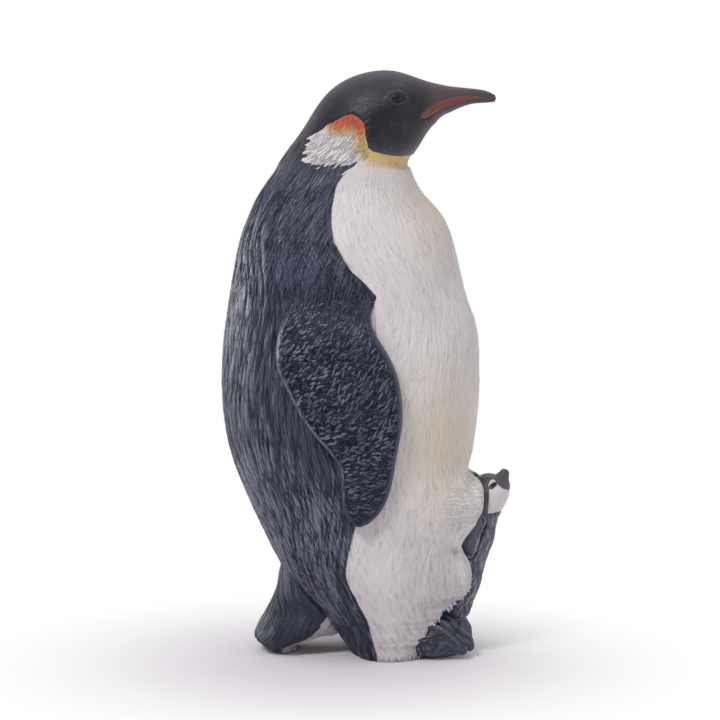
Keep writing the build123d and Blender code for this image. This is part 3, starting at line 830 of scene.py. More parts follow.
def makePlumage(name):
    p = plumagePaint
    finish, tree, surface = newFinish(name)
    strand, place = wayOf(tree, "strand"), objectPlace(tree)
    streak = noiseOf(tree, strand, 1.0, 3.0, 0.6, (1.1, 0.16, 1.0))
    thread = noiseOf(tree, strand, 1.0, 2.0, 0.55, (5.2, 0.55, 1.0))
    mottle = noiseOf(tree, place, 110.0, 3.0)
    speck = noiseOf(tree, place, 1400.0, 2.0)
    brushed = noiseOf(tree, wayOf(tree, "stroke"), 1.0, 2.0, 0.5, (2.9, 0.36, 1.0))
    cut = partOf(tree, ease(tree, awayFrom(tree, brushed), 0.075, 0.01), fieldOf(tree, "stroked"))
    # sharp lines between the dark strands
    hair = noiseOf(tree, strand, 1.0, 2.0, 0.5, (2.1, 0.13, 1.0))
    plain = calc(tree, "MAXIMUM", fieldOf(tree, "hood"), fieldOf(tree, "vaneAndShade"))
    haired = calc(tree, "SUBTRACT", 1.0, plain)
    parting = partOf(tree, ease(tree, awayFrom(tree, hair), 0.055, 0.01), haired)
    relief = fieldOf(tree, "relief")
    # dark plumage: wash in the grooves, dry brush on the ridges, and a painted highlight along the back's
    # rear edge and the flipper's rim
    slate = mixPaint(tree, ease(tree, streak, 0.35, 0.7, 0.8), p["slate"], p["bluish"])
    # darker where the flippers' vanes and the nape spot lie, and as painted shade on the tail
    slate = mixPaint(tree, fieldOf(tree, "vaneAndShade"), slate, p["vaneAndShade"])
    slate = mixPaint(tree, ease(tree, relief, -0.03, -0.22, 0.55), slate, p["deep"])
    rubbed = plusPart(tree, plusPart(tree, relief, thread, 0.34), streak, 0.15)
    # the brushed field lightens the ridges: dry brush, and a painted highlight along the back's rear edge
    # and the flipper's rim
    rubbed = calc(tree, "MULTIPLY_ADD", fieldOf(tree, "brushed"), 0.10, rubbed)
    slate = mixPaint(tree, ease(tree, rubbed, 0.03, 0.16, 0.7), slate, p["dryBrush"])
    slate = mixPaint(tree, ease(tree, thread, 0.44, 0.30, 0.34), slate, p["deep"])
    slate = mixPaint(tree, partOf(tree, cut, 0.65), slate, p["deep"])
    slate = mixPaint(tree, partOf(tree, parting, 0.68), slate, p["deep"])
    # black hood with random dust, a painted sheen that lightens it towards the crown, and the horn of the
    # beak
    dustAndTopSheen = calc(tree, "ADD", ease(tree, mottle, 0.42, 0.75, 0.3), fieldOf(tree, "dustAndTopSheen"))
    dustAndTopSheen = calc(tree, "ADD", dustAndTopSheen, ease(tree, noiseOf(tree, place, 620.0, 3.0), 0.5, 0.75, 0.35))
    hoodDustAndSheenMix = mixPaint(tree, dustAndTopSheen, p["hood"], p["hoodDustAndSheen"])
    hoodDustAndSheenMix = mixPaint(tree, fieldOf(tree, "beak"), hoodDustAndSheenMix, p["horn"])
    dark = mixPaint(tree, fieldOf(tree, "hood"), slate, hoodDustAndSheenMix)
    # pale plumage, with painted shade in its grooves and cuts
    milk = mixPaint(tree, ease(tree, mottle, 0.3, 0.7), p["milk"], p["cream"])
    milk = mixPaint(tree, fieldOf(tree, "fluffed"), milk, p["fluff"])
    milk = mixPaint(tree, ease(tree, relief, -0.02, -0.20, 0.6), milk, p["crease"])
    milk = mixPaint(tree, partOf(tree, cut, 0.34), milk, p["crease"])
    milk = mixPaint(tree, partOf(tree, fieldOf(tree, "warm"), 0.75), milk, p["warm"])
    flame = mixPaint(tree, ease(tree, fieldOf(tree, "red"), 0.45, 0.98), p["orange"], p["red"])
    milk = mixPaint(tree, ease(tree, fieldOf(tree, "yellow"), 0.05, 0.9, 0.95), milk, p["yellow"])
    milk = mixPaint(tree, ease(tree, fieldOf(tree, "red"), 0.0, 0.62, 0.97), milk, flame)
    # more painted shade in the cuts, over the yellow and the red too
    milk = mixPaint(tree, partOf(tree, cut, 0.22), milk, p["crease"])
    # the edge between dark and pale frays along the ear's slanted strokes
    tips = noiseOf(tree, wayOf(tree, "stroke"), 1.0, 2.0, 0.5, (2.2, 0.34, 1.0))
    edge = plusPart(tree, fieldOf(tree, "pale"), tips, fieldOf(tree, "fray"))
    isPale = ease(tree, edge, -0.07, 0.07)
    colour = mixPaint(tree, isPale, dark, milk)
    plate = fieldOf(tree, "plate")
    maroon = mixPaint(tree, ease(tree, plate, 0.34, 0.1), p["plate"], p["plateEdge"])
    colour = mixPaint(tree, ease(tree, plate, -0.05, 0.08), colour, maroon)
    shine = calc(tree, "MULTIPLY_ADD", speck, 0.16, 0.27)
    shine = calc(tree, "MULTIPLY_ADD", isPale, 0.16, shine)
    shine = calc(tree, "MULTIPLY_ADD", fieldOf(tree, "hood"), 0.1, shine)
    # the eye: thin lids around a glossy ball
    eye = fieldOf(tree, "eye")
    lids = awayFrom(tree, eye, 1.0)
    colour = mixPaint(tree, ease(tree, lids, 0.11, 0.03, 0.7), colour, p["lid"])
    isBall = ease(tree, eye, 1.30, 1.40)
    colour = mixPaint(tree, isBall, colour, p["eye"])
    shine = calc(tree, "MULTIPLY_ADD", isBall, -0.25, shine)
    # fine relief: threads, cuts, and partings where the plumage is dark
    grain = calc(tree, "MULTIPLY_ADD", speck, 0.35, thread)
    grain = calc(tree, "MULTIPLY_ADD", cut, -1.3, grain)
    isDark = calc(tree, "SUBTRACT", 1.0, isPale)
    grain = calc(tree, "MULTIPLY_ADD", partOf(tree, parting, isDark), -1.5, grain)
    strength = calc(tree, "MULTIPLY_ADD", fieldOf(tree, "hood"), -0.42, 0.75)
    strength = calc(tree, "MULTIPLY_ADD", fieldOf(tree, "stroked"), 0.6, strength)
    wearSurface(tree, surface, colour, shine, bumpFrom(tree, grain, strength, 0.0002), 0.32)
    return finish


backColumns = np.arange(bodyForm["backColumns"] + 1) % bodyColumns
bellyColumns = np.arange(bodyForm["backColumns"], bodyColumns + 1) % bodyColumns
backPiece = makeShell("backPlumage", backColumns)
bellyPiece = makeShell("bellyPlumage", bellyColumns)


headForm = {
    "skirtRows": 5,
    "skirtGap": 0.35,
    "tip": (0.2, 0, 0),  # past the last row of the beak
}


def makeHead():
    # a skirt inside the neck, a row that meets the torso column for column, then every second column
    neck = torsoRowCount - 1
    below = neck - headForm["skirtRows"]
    skirt = bodySkin[below] - bodyNormals[below] * headForm["skirtGap"]
    upper = bodySkin[neck + 1:, ::2]
    rows, count = upper.shape[:2]
    tip = upper[-1].mean(axis=0) + np.array(headForm["tip"])
    start = 2 * bodyColumns
    ends = [tip, skirt.mean(axis=0)]
    points = np.concatenate([skirt, bodySkin[neck], upper.reshape(-1, 3), ends])
    ring = list(range(bodyColumns, start)) + [bodyColumns]
    faces = stitch(ring, list(range(start, start + count)) + [start])
    faces += gridFaces(rows, count, start, wrap=True)
    last, end = start + (rows - 1) * count, start + rows * count
    faces += [[last + j, last + (j + 1) % count, end] for j in range(count)]
    skinCount = len(faces)
    faces += gridFaces(2, bodyColumns, wrap=True)
    faces += [[(j + 1) % bodyColumns, j, end + 1] for j in range(bodyColumns)]
    piece = makeMesh("head", points, faces, skinCount)
    paintBody(piece, [np.s_[below], np.s_[neck], np.s_[neck + 1:, ::2]], [(-1, 0), (neck, 0)])
    setRim(piece, bodyColumns, skinNormals[neck])
    return piece


def finishPiece(piece, finish, node):
    piece.data.materials.append(finish)
    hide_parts(node)
    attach(piece, "root")


headPiece = makeHead()
finishPiece(backPiece, makePlumage("darkPlumage"), "back_shell")
finishPiece(bellyPiece, makePlumage("palePlumage"), "belly_shell")
finishPiece(headPiece, makePlumage("hoodPaint"), "head")
print("body pieces made")


def coarseTree():
    # the uncarved body, for what lies on it
    picked = bodyPoints[:torsoRowCount:2, ::4]
    faces = gridFaces(*picked.shape[:2], wrap=True)
    return BVHTree.FromPolygons(picked.reshape(-1, 3).tolist(), faces)


bodyTree = coarseTree()


def castX(tree, y, z):
    # rear face of something, met from behind
    return tree.ray_cast(Vector((-farAway, y, z)), Vector((1, 0, 0)))[0]


def castFront(tree, y, z):
    return tree.ray_cast(Vector((farAway, y, z)), Vector((-1, 0, 0)))[0]


def castSide(tree, side, x, z):
    # outer face, met from the right (-1) or from the left (1)
    return tree.ray_cast(Vector((x, side * farAway, z)), Vector((0, -side, 0)))[0]


# flippers

flipperForm = {
    "rows": 200,
    "columns": 132,
    "innerColumns": 9,
    "edgeRound": 1.5,  # width of the rounded edge
    "edgeShare": 0.45,  # of the thickness left at the very edge
    "rim": 0.22,
    "fade": 5.0,  # height over which the top sinks into the shoulder
    "sunk": 0.35,
    "slant": 0.3,  # of the line where it comes out, upwards to the front
    "swell": 0.25,
    # height, and how far the edge lies behind the solid's there
    "rearReach": [(22, 0.9), (26, 0.7), (31, 0), (43, 0), (48, 0.8), (52, 1.9), (57, 2.8)],
    # by area: seed past the flipper's own, how many, length, width, depth, lean and its spread
    "strokes": {
        "cuts": (2, 650, (0.8, 2.0), (0.24, 0.36), (0.08, 0.24), (46, 13)),
        "pits": (6, 260, (0.5, 1.0), (0.32, 0.46), (0.14, 0.30), (16, 14)),
        "tip": (3, 260, (2, 5), (0.32, 0.5), (0.06, 0.15), (4, 7)),
        "shoulder": (4, 90, (1.4, 4), (0.28, 0.42), (0.06, 0.17), (50, 9)),
        "front": (5, 160, (2, 6), (0.3, 0.45), (0.04, 0.10), (8, 8)),
    },
}


def sideOutline(name, levels):
    # rear and front of a solid at each level
    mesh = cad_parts[name].data
    ends = np.empty(len(mesh.edges) * 2, int)
    mesh.edges.foreach_get("vertices", ends)
    a, b = cadPoints(name)[ends.reshape(-1, 2).T]
    low, high = np.minimum(a[:, 2], b[:, 2]), np.maximum(a[:, 2], b[:, 2])
    rear, front = [], []
    for z in levels:
        hit = (low <= z) & (high > z)
        share = (z - a[hit, 2]) / (b[hit, 2] - a[hit, 2])
        x = a[hit, 0] + share * (b[hit, 0] - a[hit, 0])
        rear.append(x.min())
        front.append(x.max())
    return smoothAlong(np.array(rear), 1.5), smoothAlong(np.array(front), 1.5)


def flipperSkin(node, side):
    f = flipperForm
    low, high = boxOf(node)
    share = np.linspace(0, 1, f["rows"])
    levels = low[2] + 0.03 + (high[2] - low[2] - 0.1) * (0.8 * share + 0.2 * share ** 2)
    rear, front = sideOutline(node, levels)
    rear = rear - np.interp(levels, *np.array(f["rearReach"]).T)
    t = np.linspace(0, 1, f["columns"])
    t = 0.55 * t + 0.45 * (0.5 - 0.5 * np.cos(math.pi * t))
    start, width = rear[:, None], (front - rear)[:, None]
    x = start + width * t[None, :]
    z = np.repeat(levels[:, None], len(t), axis=1)
    tree, _ = cadTree(node)
    # the solid's thickness is read a little inside its edges
    margin = np.minimum(0.4 / width, 0.45)
    inward = start + width * np.clip(t[None, :], margin, 1 - margin)
    skinY, thick = np.empty_like(x), np.full_like(x, np.nan)
    for i, j in np.ndindex(x.shape):
        skinY[i, j] = castSide(bodyTree, side, x[i, j], z[i, j])[1]
        near = castSide(bodyTree, side, inward[i, j], z[i, j])
        hit = castSide(tree, side, inward[i, j], z[i, j])
        thick[i, j] = side * (hit[1] - near[1]) if hit is not None else np.nan
    rowThick = np.nanmedian(thick, axis=1)
    known = ~np.isnan(rowThick)
    rowThick = np.interp(levels, levels[known], rowThick[known])
    return x, z, skinY, smoothAlong(rowThick, 4.0)[:, None], rear, front, levels


def makeFlipper(name, node, side, seed):
    f = flipperForm
    x, z, skinY, thick, rear, front, levels = flipperSkin(node, side)
    rearLine = np.stack([rear, levels], axis=1)[::5]
    frontLine = np.stack([front, levels], axis=1)[::5]
    rearGap = lineGap(x, z, rearLine)
    gap = np.minimum(rearGap, lineGap(x, z, frontLine))
    rounded = np.sqrt(1 - (1 - np.clip(gap / f["edgeRound"], 0, 1)) ** 2)
    # the top comes out of the shoulder along an uneven line, higher towards the front
    top = levels[-1]
    uneven = 0.7 * gridNoise(x.shape, 26, 999, seed) + 0.3 * gridNoise(x.shape, 7, 999, seed + 1)
    slant = f["slant"] * (x - x[-1].mean())
    fade = easeStep(top + 1.5, top - f["fade"], z - slant + np.clip(uneven, -1.0, 1.2))
    fade = fade * easeStep(top + 0.3, top - 3, z)
    ahead = (x - rear[:, None]) / (front - rear)[:, None]
    height = thick * (f["edgeShare"] + (1 - f["edgeShare"]) * rounded)
    height += f["rim"] * np.exp(-((gap - 0.4) / 0.33) ** 2)
    height += f["swell"] * np.sin(math.pi * np.clip(ahead, 0, 1))
    height = height * fade - f["sunk"] * (1 - fade)
    cells = (
        np.repeat(np.gradient(levels)[:, None], x.shape[1], axis=1),
        np.maximum(np.gradient(x, axis=1), 0.03),
        np.ones_like(x),
    )
    relief = np.zeros_like(x)
    inside = easeStep(0.3, 1.0, gap)
    tip = easeStep(34, 27, z)
    shoulder = easeStep(top - 11, top - 5, z)
    areas = {
        "cuts": inside * (1 - 0.9 * tip) * (1 - 0.85 * shoulder),
        "pits": inside * (1 - tip) * easeStep(0.55, 0.25, ahead),
        "tip": inside * tip,
        "shoulder": shoulder + 1e-6,
        "front": inside * easeStep(front[:, None] - 5, front[:, None] - 2, x),
    }
    for area, (past, *stroke) in f["strokes"].items():
        carveStrokes(relief, cells, areas[area], seed + past, *stroke)
    outer = np.stack([x, skinY + side * (height + relief), z], axis=-1)
    picked = np.round(np.linspace(0, x.shape[1] - 1, f["innerColumns"])).astype(int)
    inner = np.stack([x, skinY - side * (f["sunk"] + 0.15), z], axis=-1)[:, picked]
    # fine cuts in arcs about a point behind the shoulder
    reach, arc = turnAbout(x, z, arcCentre)
    blank = np.zeros_like(x)
    strand = np.stack([x - rear[:, None], z, blank], axis=-1)
    stroke = np.stack([0.75 * reach, 2.4 * arc, blank], axis=-1)
    fields = {
        "pale": blank - 5,
        "plate": blank - 5,
        "relief": relief,
        "stroked": np.maximum(inside * easeStep(top, top - 10, z), shoulderStrokes(x, z)),
        # a lighter line along the rear rim: dry brush on the raised rim and a painted highlight
        "brushed": 1.1 * np.exp(-((rearGap - 0.4) / 0.3) ** 2) * easeStep(top - 1, top - 6, z),
        "vaneAndShade": easeStep(top - 1, top - 9, z - slant + 0.6 * uneven),
    }
    if side > 0:
        # columns run anticlockwise seen from above
        outer, inner, strand, stroke, gap = (a[:, ::-1] for a in (outer, inner, strand, stroke, gap))
        fields = {key: values[:, ::-1] for key, values in fields.items()}
    points = np.concatenate([outer.reshape(-1, 3), inner.reshape(-1, 3)])
    rows, count = outer.shape[:2]
    piece = makeMesh(name, points, skinFaces(rows, count, inner.shape[1]), (rows - 1) * (count - 1))
    for key, values in fields.items():
        addField(piece, key, values)
    addVectors(piece, "strand", strand)
    addVectors(piece, "stroke", stroke)
    return piece, outer, gap, fields["relief"]


flipperPaint = {
    "deep": (0.003, 0.0035, 0.007),
    "slate": (0.042, 0.049, 0.090),
    "dryBrush": (0.23, 0.245, 0.33),
}


def makeDarkFinish(name, paint, threads=(5.0, 0.9, 1.0), rubbedFrom=-0.01, gloss=0.4, lines=0.0):
    # dark paint with a wash in the hollows and in drawn-out lines, and a dry brush over what stands up
    finish, tree, surface = newFinish(name)
    strand, place = wayOf(tree, "strand"), objectPlace(tree)
    thread = noiseOf(tree, strand, 1.0, 2.0, 0.5, threads)
    mottle = noiseOf(tree, place, 260.0, 3.0)
    speck = noiseOf(tree, place, 1500.0, 2.0)
    relief = fieldOf(tree, "relief")
    cut = ease(tree, awayFrom(tree, thread), 0.07, 0.01, lines)
    relief = calc(tree, "MULTIPLY_ADD", cut, -0.16, relief)
    colour = mixPaint(tree, ease(tree, relief, -0.12, 0.0), paint["deep"], paint["slate"])
    rubbed = plusPart(tree, plusPart(tree, relief, mottle, 0.22), thread, 0.14)
    rubbed = ease(tree, rubbed, rubbedFrom, rubbedFrom + 0.12, 0.75)
    colour = mixPaint(tree, rubbed, colour, paint["dryBrush"])
    shine = calc(tree, "MULTIPLY_ADD", speck, 0.16, 0.30)
    grain = calc(tree, "MULTIPLY_ADD", speck, 0.4, thread)
    grain = calc(tree, "MULTIPLY_ADD", cut, -2.0, grain)
    bump = bumpFrom(tree, grain, 0.3 + 0.6 * lines, 0.00008 + 0.0001 * lines)
    wearSurface(tree, surface, colour, shine, bump, gloss)
    return finish


flipperFinish = makePlumage("flipperPaint")
scaleFinish = makeDarkFinish("flipperScalePaint", flipperPaint, rubbedFrom=0.035)


def growTree(name, shape, settings, finish):
    # one low shape on every point, turned and sized by the points' own fields
    tree = bpy.data.node_groups.new(name, "GeometryNodeTree")
    tree.interface.new_socket(name="Geometry", in_out="INPUT", socket_type="NodeSocketGeometry")
    for key in ("Least", "Most"):
        tree.interface.new_socket(name=key, in_out="INPUT", socket_type="NodeSocketFloat")
    tree.interface.new_socket(name="Seed", in_out="INPUT", socket_type="NodeSocketInt")
    tree.interface.new_socket(name="Geometry", in_out="OUTPUT", socket_type="NodeSocketGeometry")
    add, link = tree.nodes.new, tree.links.new
    given, made = add("NodeGroupInput"), add("NodeGroupOutput")
    dome = add(shape)
    for key, value in settings.items():
        dome.inputs[key].default_value = value
    # how far each point stands up is kept for the paint
    height, parts = add("GeometryNodeInputPosition"), add("ShaderNodeSeparateXYZ")
    scaled, kept = add("ShaderNodeMath"), add("GeometryNodeStoreNamedAttribute")
    scaled.operation = "MULTIPLY"
    scaled.inputs[1].default_value = 0.07
    kept.data_type, kept.domain = "FLOAT", "POINT"
    kept.inputs["Name"].default_value = "relief"
    link(height.outputs[0], parts.inputs[0])
    link(parts.outputs[2], scaled.inputs[0])
    link(dome.outputs["Mesh"], kept.inputs["Geometry"])
    link(scaled.outputs[0], kept.inputs["Value"])
    chance = add("FunctionNodeRandomValue")
    chance.data_type = "FLOAT"
    link(given.outputs["Least"], chance.inputs[2])
    link(given.outputs["Most"], chance.inputs[3])
    link(given.outputs["Seed"], chance.inputs["Seed"])
    turn, size = add("GeometryNodeInputNamedAttribute"), add("GeometryNodeInputNamedAttribute")
    turn.data_type = size.data_type = "FLOAT_VECTOR"
    turn.inputs["Name"].default_value = "turn"
    size.inputs["Name"].default_value = "size"
    grown = add("ShaderNodeVectorMath")
    grown.operation = "SCALE"
    link(size.outputs["Attribute"], grown.inputs[0])
    link(chance.outputs[1], grown.inputs["Scale"])
    laid = add("GeometryNodeInstanceOnPoints")
    link(given.outputs["Geometry"], laid.inputs["Points"])
    link(kept.outputs["Geometry"], laid.inputs["Instance"])
    link(turn.outputs["Attribute"], laid.inputs["Rotation"])
    link(grown.outputs[0], laid.inputs["Scale"])
    real, smooth = add("GeometryNodeRealizeInstances"), add("GeometryNodeSetShadeSmooth")
    dressed = add("GeometryNodeSetMaterial")
    dressed.inputs["Material"].default_value = finish
    link(laid.outputs["Instances"], real.inputs["Geometry"])
    link(real.outputs["Geometry"], smooth.inputs["Geometry"])
    link(smooth.outputs["Geometry"], dressed.inputs["Geometry"])
    link(dressed.outputs["Geometry"], made.inputs["Geometry"])
    return tree


def bakedMesh(piece):
    # plain mesh of what the modifiers make
    return bpy.data.meshes.new_from_object(piece.evaluated_get(bpy.context.evaluated_depsgraph_get()))


def growOnPoints(name, tree, points, turns, sizes, settings):
    seedMesh = bpy.data.meshes.new(name)
    seedMesh.from_pydata([tuple(p) for p in np.asarray(points) * mm], [], [])
    piece = bpy.data.objects.new(name, seedMesh)
    bpy.context.scene.collection.objects.link(piece)
    addVectors(piece, "turn", turns)
    addVectors(piece, "size", np.asarray(sizes) * mm)
    grower = piece.modifiers.new("grow", "NODES")
    grower.node_group = tree
    for socket in tree.interface.items_tree:
        if socket.in_out == "INPUT" and socket.name in settings:
            grower[socket.identifier] = settings[socket.name]
    grown = bakedMesh(piece)
    piece.modifiers.remove(grower)
    piece.data = grown
    return piece


def turnTo(outward, along):
    # angles that set a shape's z outward and its x along the surface
    z = Vector(outward).normalized()
    x = Vector(along)
    x = (x - z * x.dot(z)).normalized()
    return Matrix((x, z.cross(x), z)).transposed().to_euler()


scaleForm = {
    "mesh": {"Segments": 8, "Rings": 5, "Radius": 1.0},
    "spacing": (0.78, 0.56),  # across and upwards
    # half length, half width and height, degrees up from level, and the share left out
    "round": ((0.60, 0.23, 0.13), 34, 0.26),
    "dash": ((0.80, 0.18, 0.12), 54, 0.35),
    "low": ((0.62, 0.20, 0.13), 6, 0.30),
    "turnSpread": 14,
    "dashFrom": (0.52, 0.12),  # share of the width, and its spread
    "lowBelow": (36, 2),  # height, and its spread
    "edge": 0.8,  # left free along the flipper's edge
    "deepest": -0.13,  # cut that still carries a scale
    "sizes": (0.7, 1.15),
    "sunk": 0.04,
}


def makeScales(name, outer, gap, relief, seed):
    # round scales to the rear and above, slanted dashes ahead, level dashes below
    f = scaleForm
    pick = np.random.default_rng(seed)
    # turned by the flipper's even form, not by its cuts
    rows, count = outer.shape[:2]
    even = smoothAlong(outer.reshape(rows, -1), 7.0).reshape(rows, count, 3).swapaxes(0, 1)
    even = smoothAlong(even.reshape(count, -1), 7.0).reshape(count, rows, 3).swapaxes(0, 1)
    normals = gridNormals(even)
    low, high = outer[..., 2].min(), outer[..., 2].max()
    places, turns, sizes = [], [], []
    across, up = f["spacing"]
    for k, z in enumerate(np.arange(low + 2.5, high - 0.6, up)):
        row = int(np.argmin(abs(outer[:, count // 2, 2] - z)))
        xs = outer[row, :, 0]
        for x in np.arange(xs.min() + 0.5, xs.max() - 0.5, across) + (k % 2) * across / 2:
            i = int(np.clip(row + pick.normal(0, 1.0), 1, rows - 2))
            j = int(np.argmin(abs(xs - x - pick.normal(0, 0.1))))
            j = int(np.clip(j, 2, count - 3))
            share = (x - xs.min()) / (xs.max() - xs.min())
            if z < pick.normal(*f["lowBelow"]):
                kind = "low"
            else:
                kind = "dash" if share > pick.normal(*f["dashFrom"]) else "round"
            shape, lean, leftOut = f[kind]
            leftOut += 0.3 * share * easeStep(high - 7, high, z)
            if gap[i, j] < f["edge"] or relief[i, j] < f["deepest"] or pick.random() < leftOut:
                continue
            turn = math.radians(lean + pick.normal(0, f["turnSpread"]))
            places.append(outer[i, j] - normals[i, j] * f["sunk"])
            turns.append(turnTo(normals[i, j], (math.cos(turn), 0, math.sin(turn))))
            sizes.append(np.array(shape) * (0.6 + 0.4 * easeStep(high + 1, high - 6, z)))
    least, most = f["sizes"]
    settings = {"Least": least, "Most": most, "Seed": seed}
    return growOnPoints(name, flipperScales, places, turns, sizes, settings)


flipperScales = growTree("flipperScales", "GeometryNodeMeshUVSphere", scaleForm["mesh"], scaleFinish)
for side, word in ((-1, "right"), (1, "left")):
    piece, outer, gap, relief = makeFlipper(word + "Flipper", word + "_flipper", side, 40 + side)
    finishPiece(piece, flipperFinish, word + "_flipper")
    scales = makeScales(word + "FlipperScales", outer, gap, relief, 50 + side)
    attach(scales, "root")
print("flippers made")


# tail

tailForm = {
    "rows": 80,
    "columns": 240,
    # seed, how many, length, width, depth, lean and its spread
    "strokes": (61, 420, (3, 9), (0.4, 0.75), (0.08, 0.24), (0, 4)),
    "ragged": 0.45,
    "seed": 60,
    "least": 0.3,  # distance of the skin from the middle line
    "inside": 0.6,  # how far it runs into the body
    "underside": [  # x and height round the white part
        (-13.4, -1), (-13, 0.9), (-12, 1.5), (-10.2, 2.2), (-8.4, 3.1),
        (-7.2, 4.6), (-6.3, 6), (-5.5, 9), (0, 9), (0, -1),
    ],
    "fillet": (1.2, 1.5),  # height and width of the flare at the body
    "rise": 2.5,  # of the top, into the overhang of the back
    "lift": 0.8,  # of the tip off the ground
    "corner": 0.5,  # that the tip is drawn out
}


def makeTail():
    f = tailForm
    tree, _ = cadTree("tail")
    low, high = boxOf("tail")
    levels = np.linspace(low[2] + 0.03, high[2] - 0.15, f["rows"])
    angles = np.linspace(0, 2 * math.pi, f["columns"], endpoint=False)
    middles, reach = [], []
    for z in levels:
        back = castX(tree, 0, z)[0]
        ahead = tree.ray_cast(Vector((back + 0.1, 0, z)), Vector((1, 0, 0)))[0]
        front = ahead[0] if ahead is not None else back + 0.5
        wall = castX(bodyTree, 0, z)
        if wall is not None:
            front = min(front, wall[0] + 0.5)
        middles.append((back + front) / 2)
    middles = smoothAlong(np.array(middles), 4.0)
    for x, z in zip(middles, levels):
        row = []
        for angle in angles:
            way = Vector((math.cos(angle), math.sin(angle), 0))
            centre = Vector((x, 0, z))
            hit = tree.ray_cast(centre + way * farAway, -way)
            out = farAway - hit[3] if hit[0] is not None else f["least"]
            wall = bodyTree.ray_cast(centre, way)
            if wall[0] is not None:
                out = min(out, wall[3] + f["inside"])
            row.append(max(out, f["least"]))
        reach.append(row)
    reach = smoothAlong(np.array(reach), 2.0)
    lap = 20
    reach = np.concatenate([reach.T[-lap:], reach.T, reach.T[:lap]])
    reach = smoothAlong(reach, 2.0)[lap:-lap].T
    rows, count = reach.shape
    share = np.linspace(0, 1, rows)[:, None]
    pick = np.random.default_rng(f["seed"])
    fringe = smoothAlong(np.concatenate([pick.normal(0, 1, count)] * 3), 2.2)[count:2 * count]
    z = levels[:, None] + f["ragged"] * (abs(fringe) / abs(fringe).max())[None, :] * (1 - share) ** 6
    points = np.stack([middles[:, None] + reach * np.cos(angles), reach * np.sin(angles), z], axis=-1)
    cells = (
        np.repeat(np.gradient(levels)[:, None], count, axis=1),
        np.maximum(reach * 2 * math.pi / count, 0.03),
        np.ones_like(reach),
    )
    relief = np.zeros_like(reach)
    carveStrokes(relief, cells, np.ones_like(reach), *f["strokes"])
    # flare out where it runs into the body
    away = np.array([bodyTree.find_nearest(Vector(point))[3] for point in points.reshape(-1, 3)])
    away = away.reshape(reach.shape)
    swell, spread = f["fillet"]
    flare = swell * np.exp(-(away / spread) ** 2) * easeStep(0, 3, z) * easeStep(1.0, 0.65, share)
    points = points + gridNormals(points) * (relief + flare)[..., None]
    points[..., 2] += f["rise"] * easeStep(0.72, 1.0, share)
    tip = easeStep(-13, -18, points[..., 0])
    points[..., 2] += f["lift"] * tip * (1 - share) ** 3
    points[..., 0] -= f["corner"] * tip * np.exp(-((share - 0.1) / 0.1) ** 2)
    ends = [points[0].mean(axis=0) + np.array([0, 0, 0.5]), points[-1].mean(axis=0)]
    points = points.reshape(-1, 3)
    piece = makeMesh("tailFan", np.concatenate([points, ends]), closedFaces(rows, count))
    pale = areaGap(points[:, 0], points[:, 2], f["underside"])
    blank = np.zeros_like(pale)
    fields = {
        "pale": pale,
        "fray": blank + 1.2,
        "plate": blank - 5,
        "relief": relief.ravel(),
        # the tail takes the darker paint and less dry brush than the back: painted shade
        "vaneAndShade": blank + 0.8,
        "brushed": blank - 0.5,
    }
    for key, values in fields.items():
        addField(piece, key, values, values[0])
    strand = np.stack([angles[None, :] * reach, z, np.zeros_like(z)], axis=-1)
    for key in ("strand", "stroke"):
        addVectors(piece, key, strand)
    return piece


finishPiece(makeTail(), makePlumage("tailPlumage"), "tail")
print("tail made")


# ragged tufts along the pouch's edge

tuftForm = {
    "count": 110,  # on each side
    "groundCount": 90,
    "seed": 66,
    "topHeight": 12.5,
    "size": (0.42, 0.30, 0.95),  # width, thickness and length
    "groundShare": (0.8, 0.5, 0.7),  # of that size, along the ground
    "turn": (-34, 26),  # degrees up from straight ahead, and its spread
    "sizes": (0.45, 1.25),
    "mesh": {"Vertices": 6, "Side Segments": 3, "Radius Top": 0.45, "Radius Bottom": 1.0, "Depth": 1.0},
}


def makePaleFinish(name):
    p = plumagePaint
    finish, tree, surface = newFinish(name)
    place = objectPlace(tree)
    mottle, speck = noiseOf(tree, place, 500.0, 3.0), noiseOf(tree, place, 1500.0, 2.0)
    colour = mixPaint(tree, ease(tree, mottle, 0.3, 0.7), p["milk"], p["cream"])
    shine = calc(tree, "MULTIPLY_ADD", speck, 0.16, 0.43)
    wearSurface(tree, surface, colour, shine, bumpFrom(tree, mottle, 0.4, 0.0001), 0.32)
    return finish


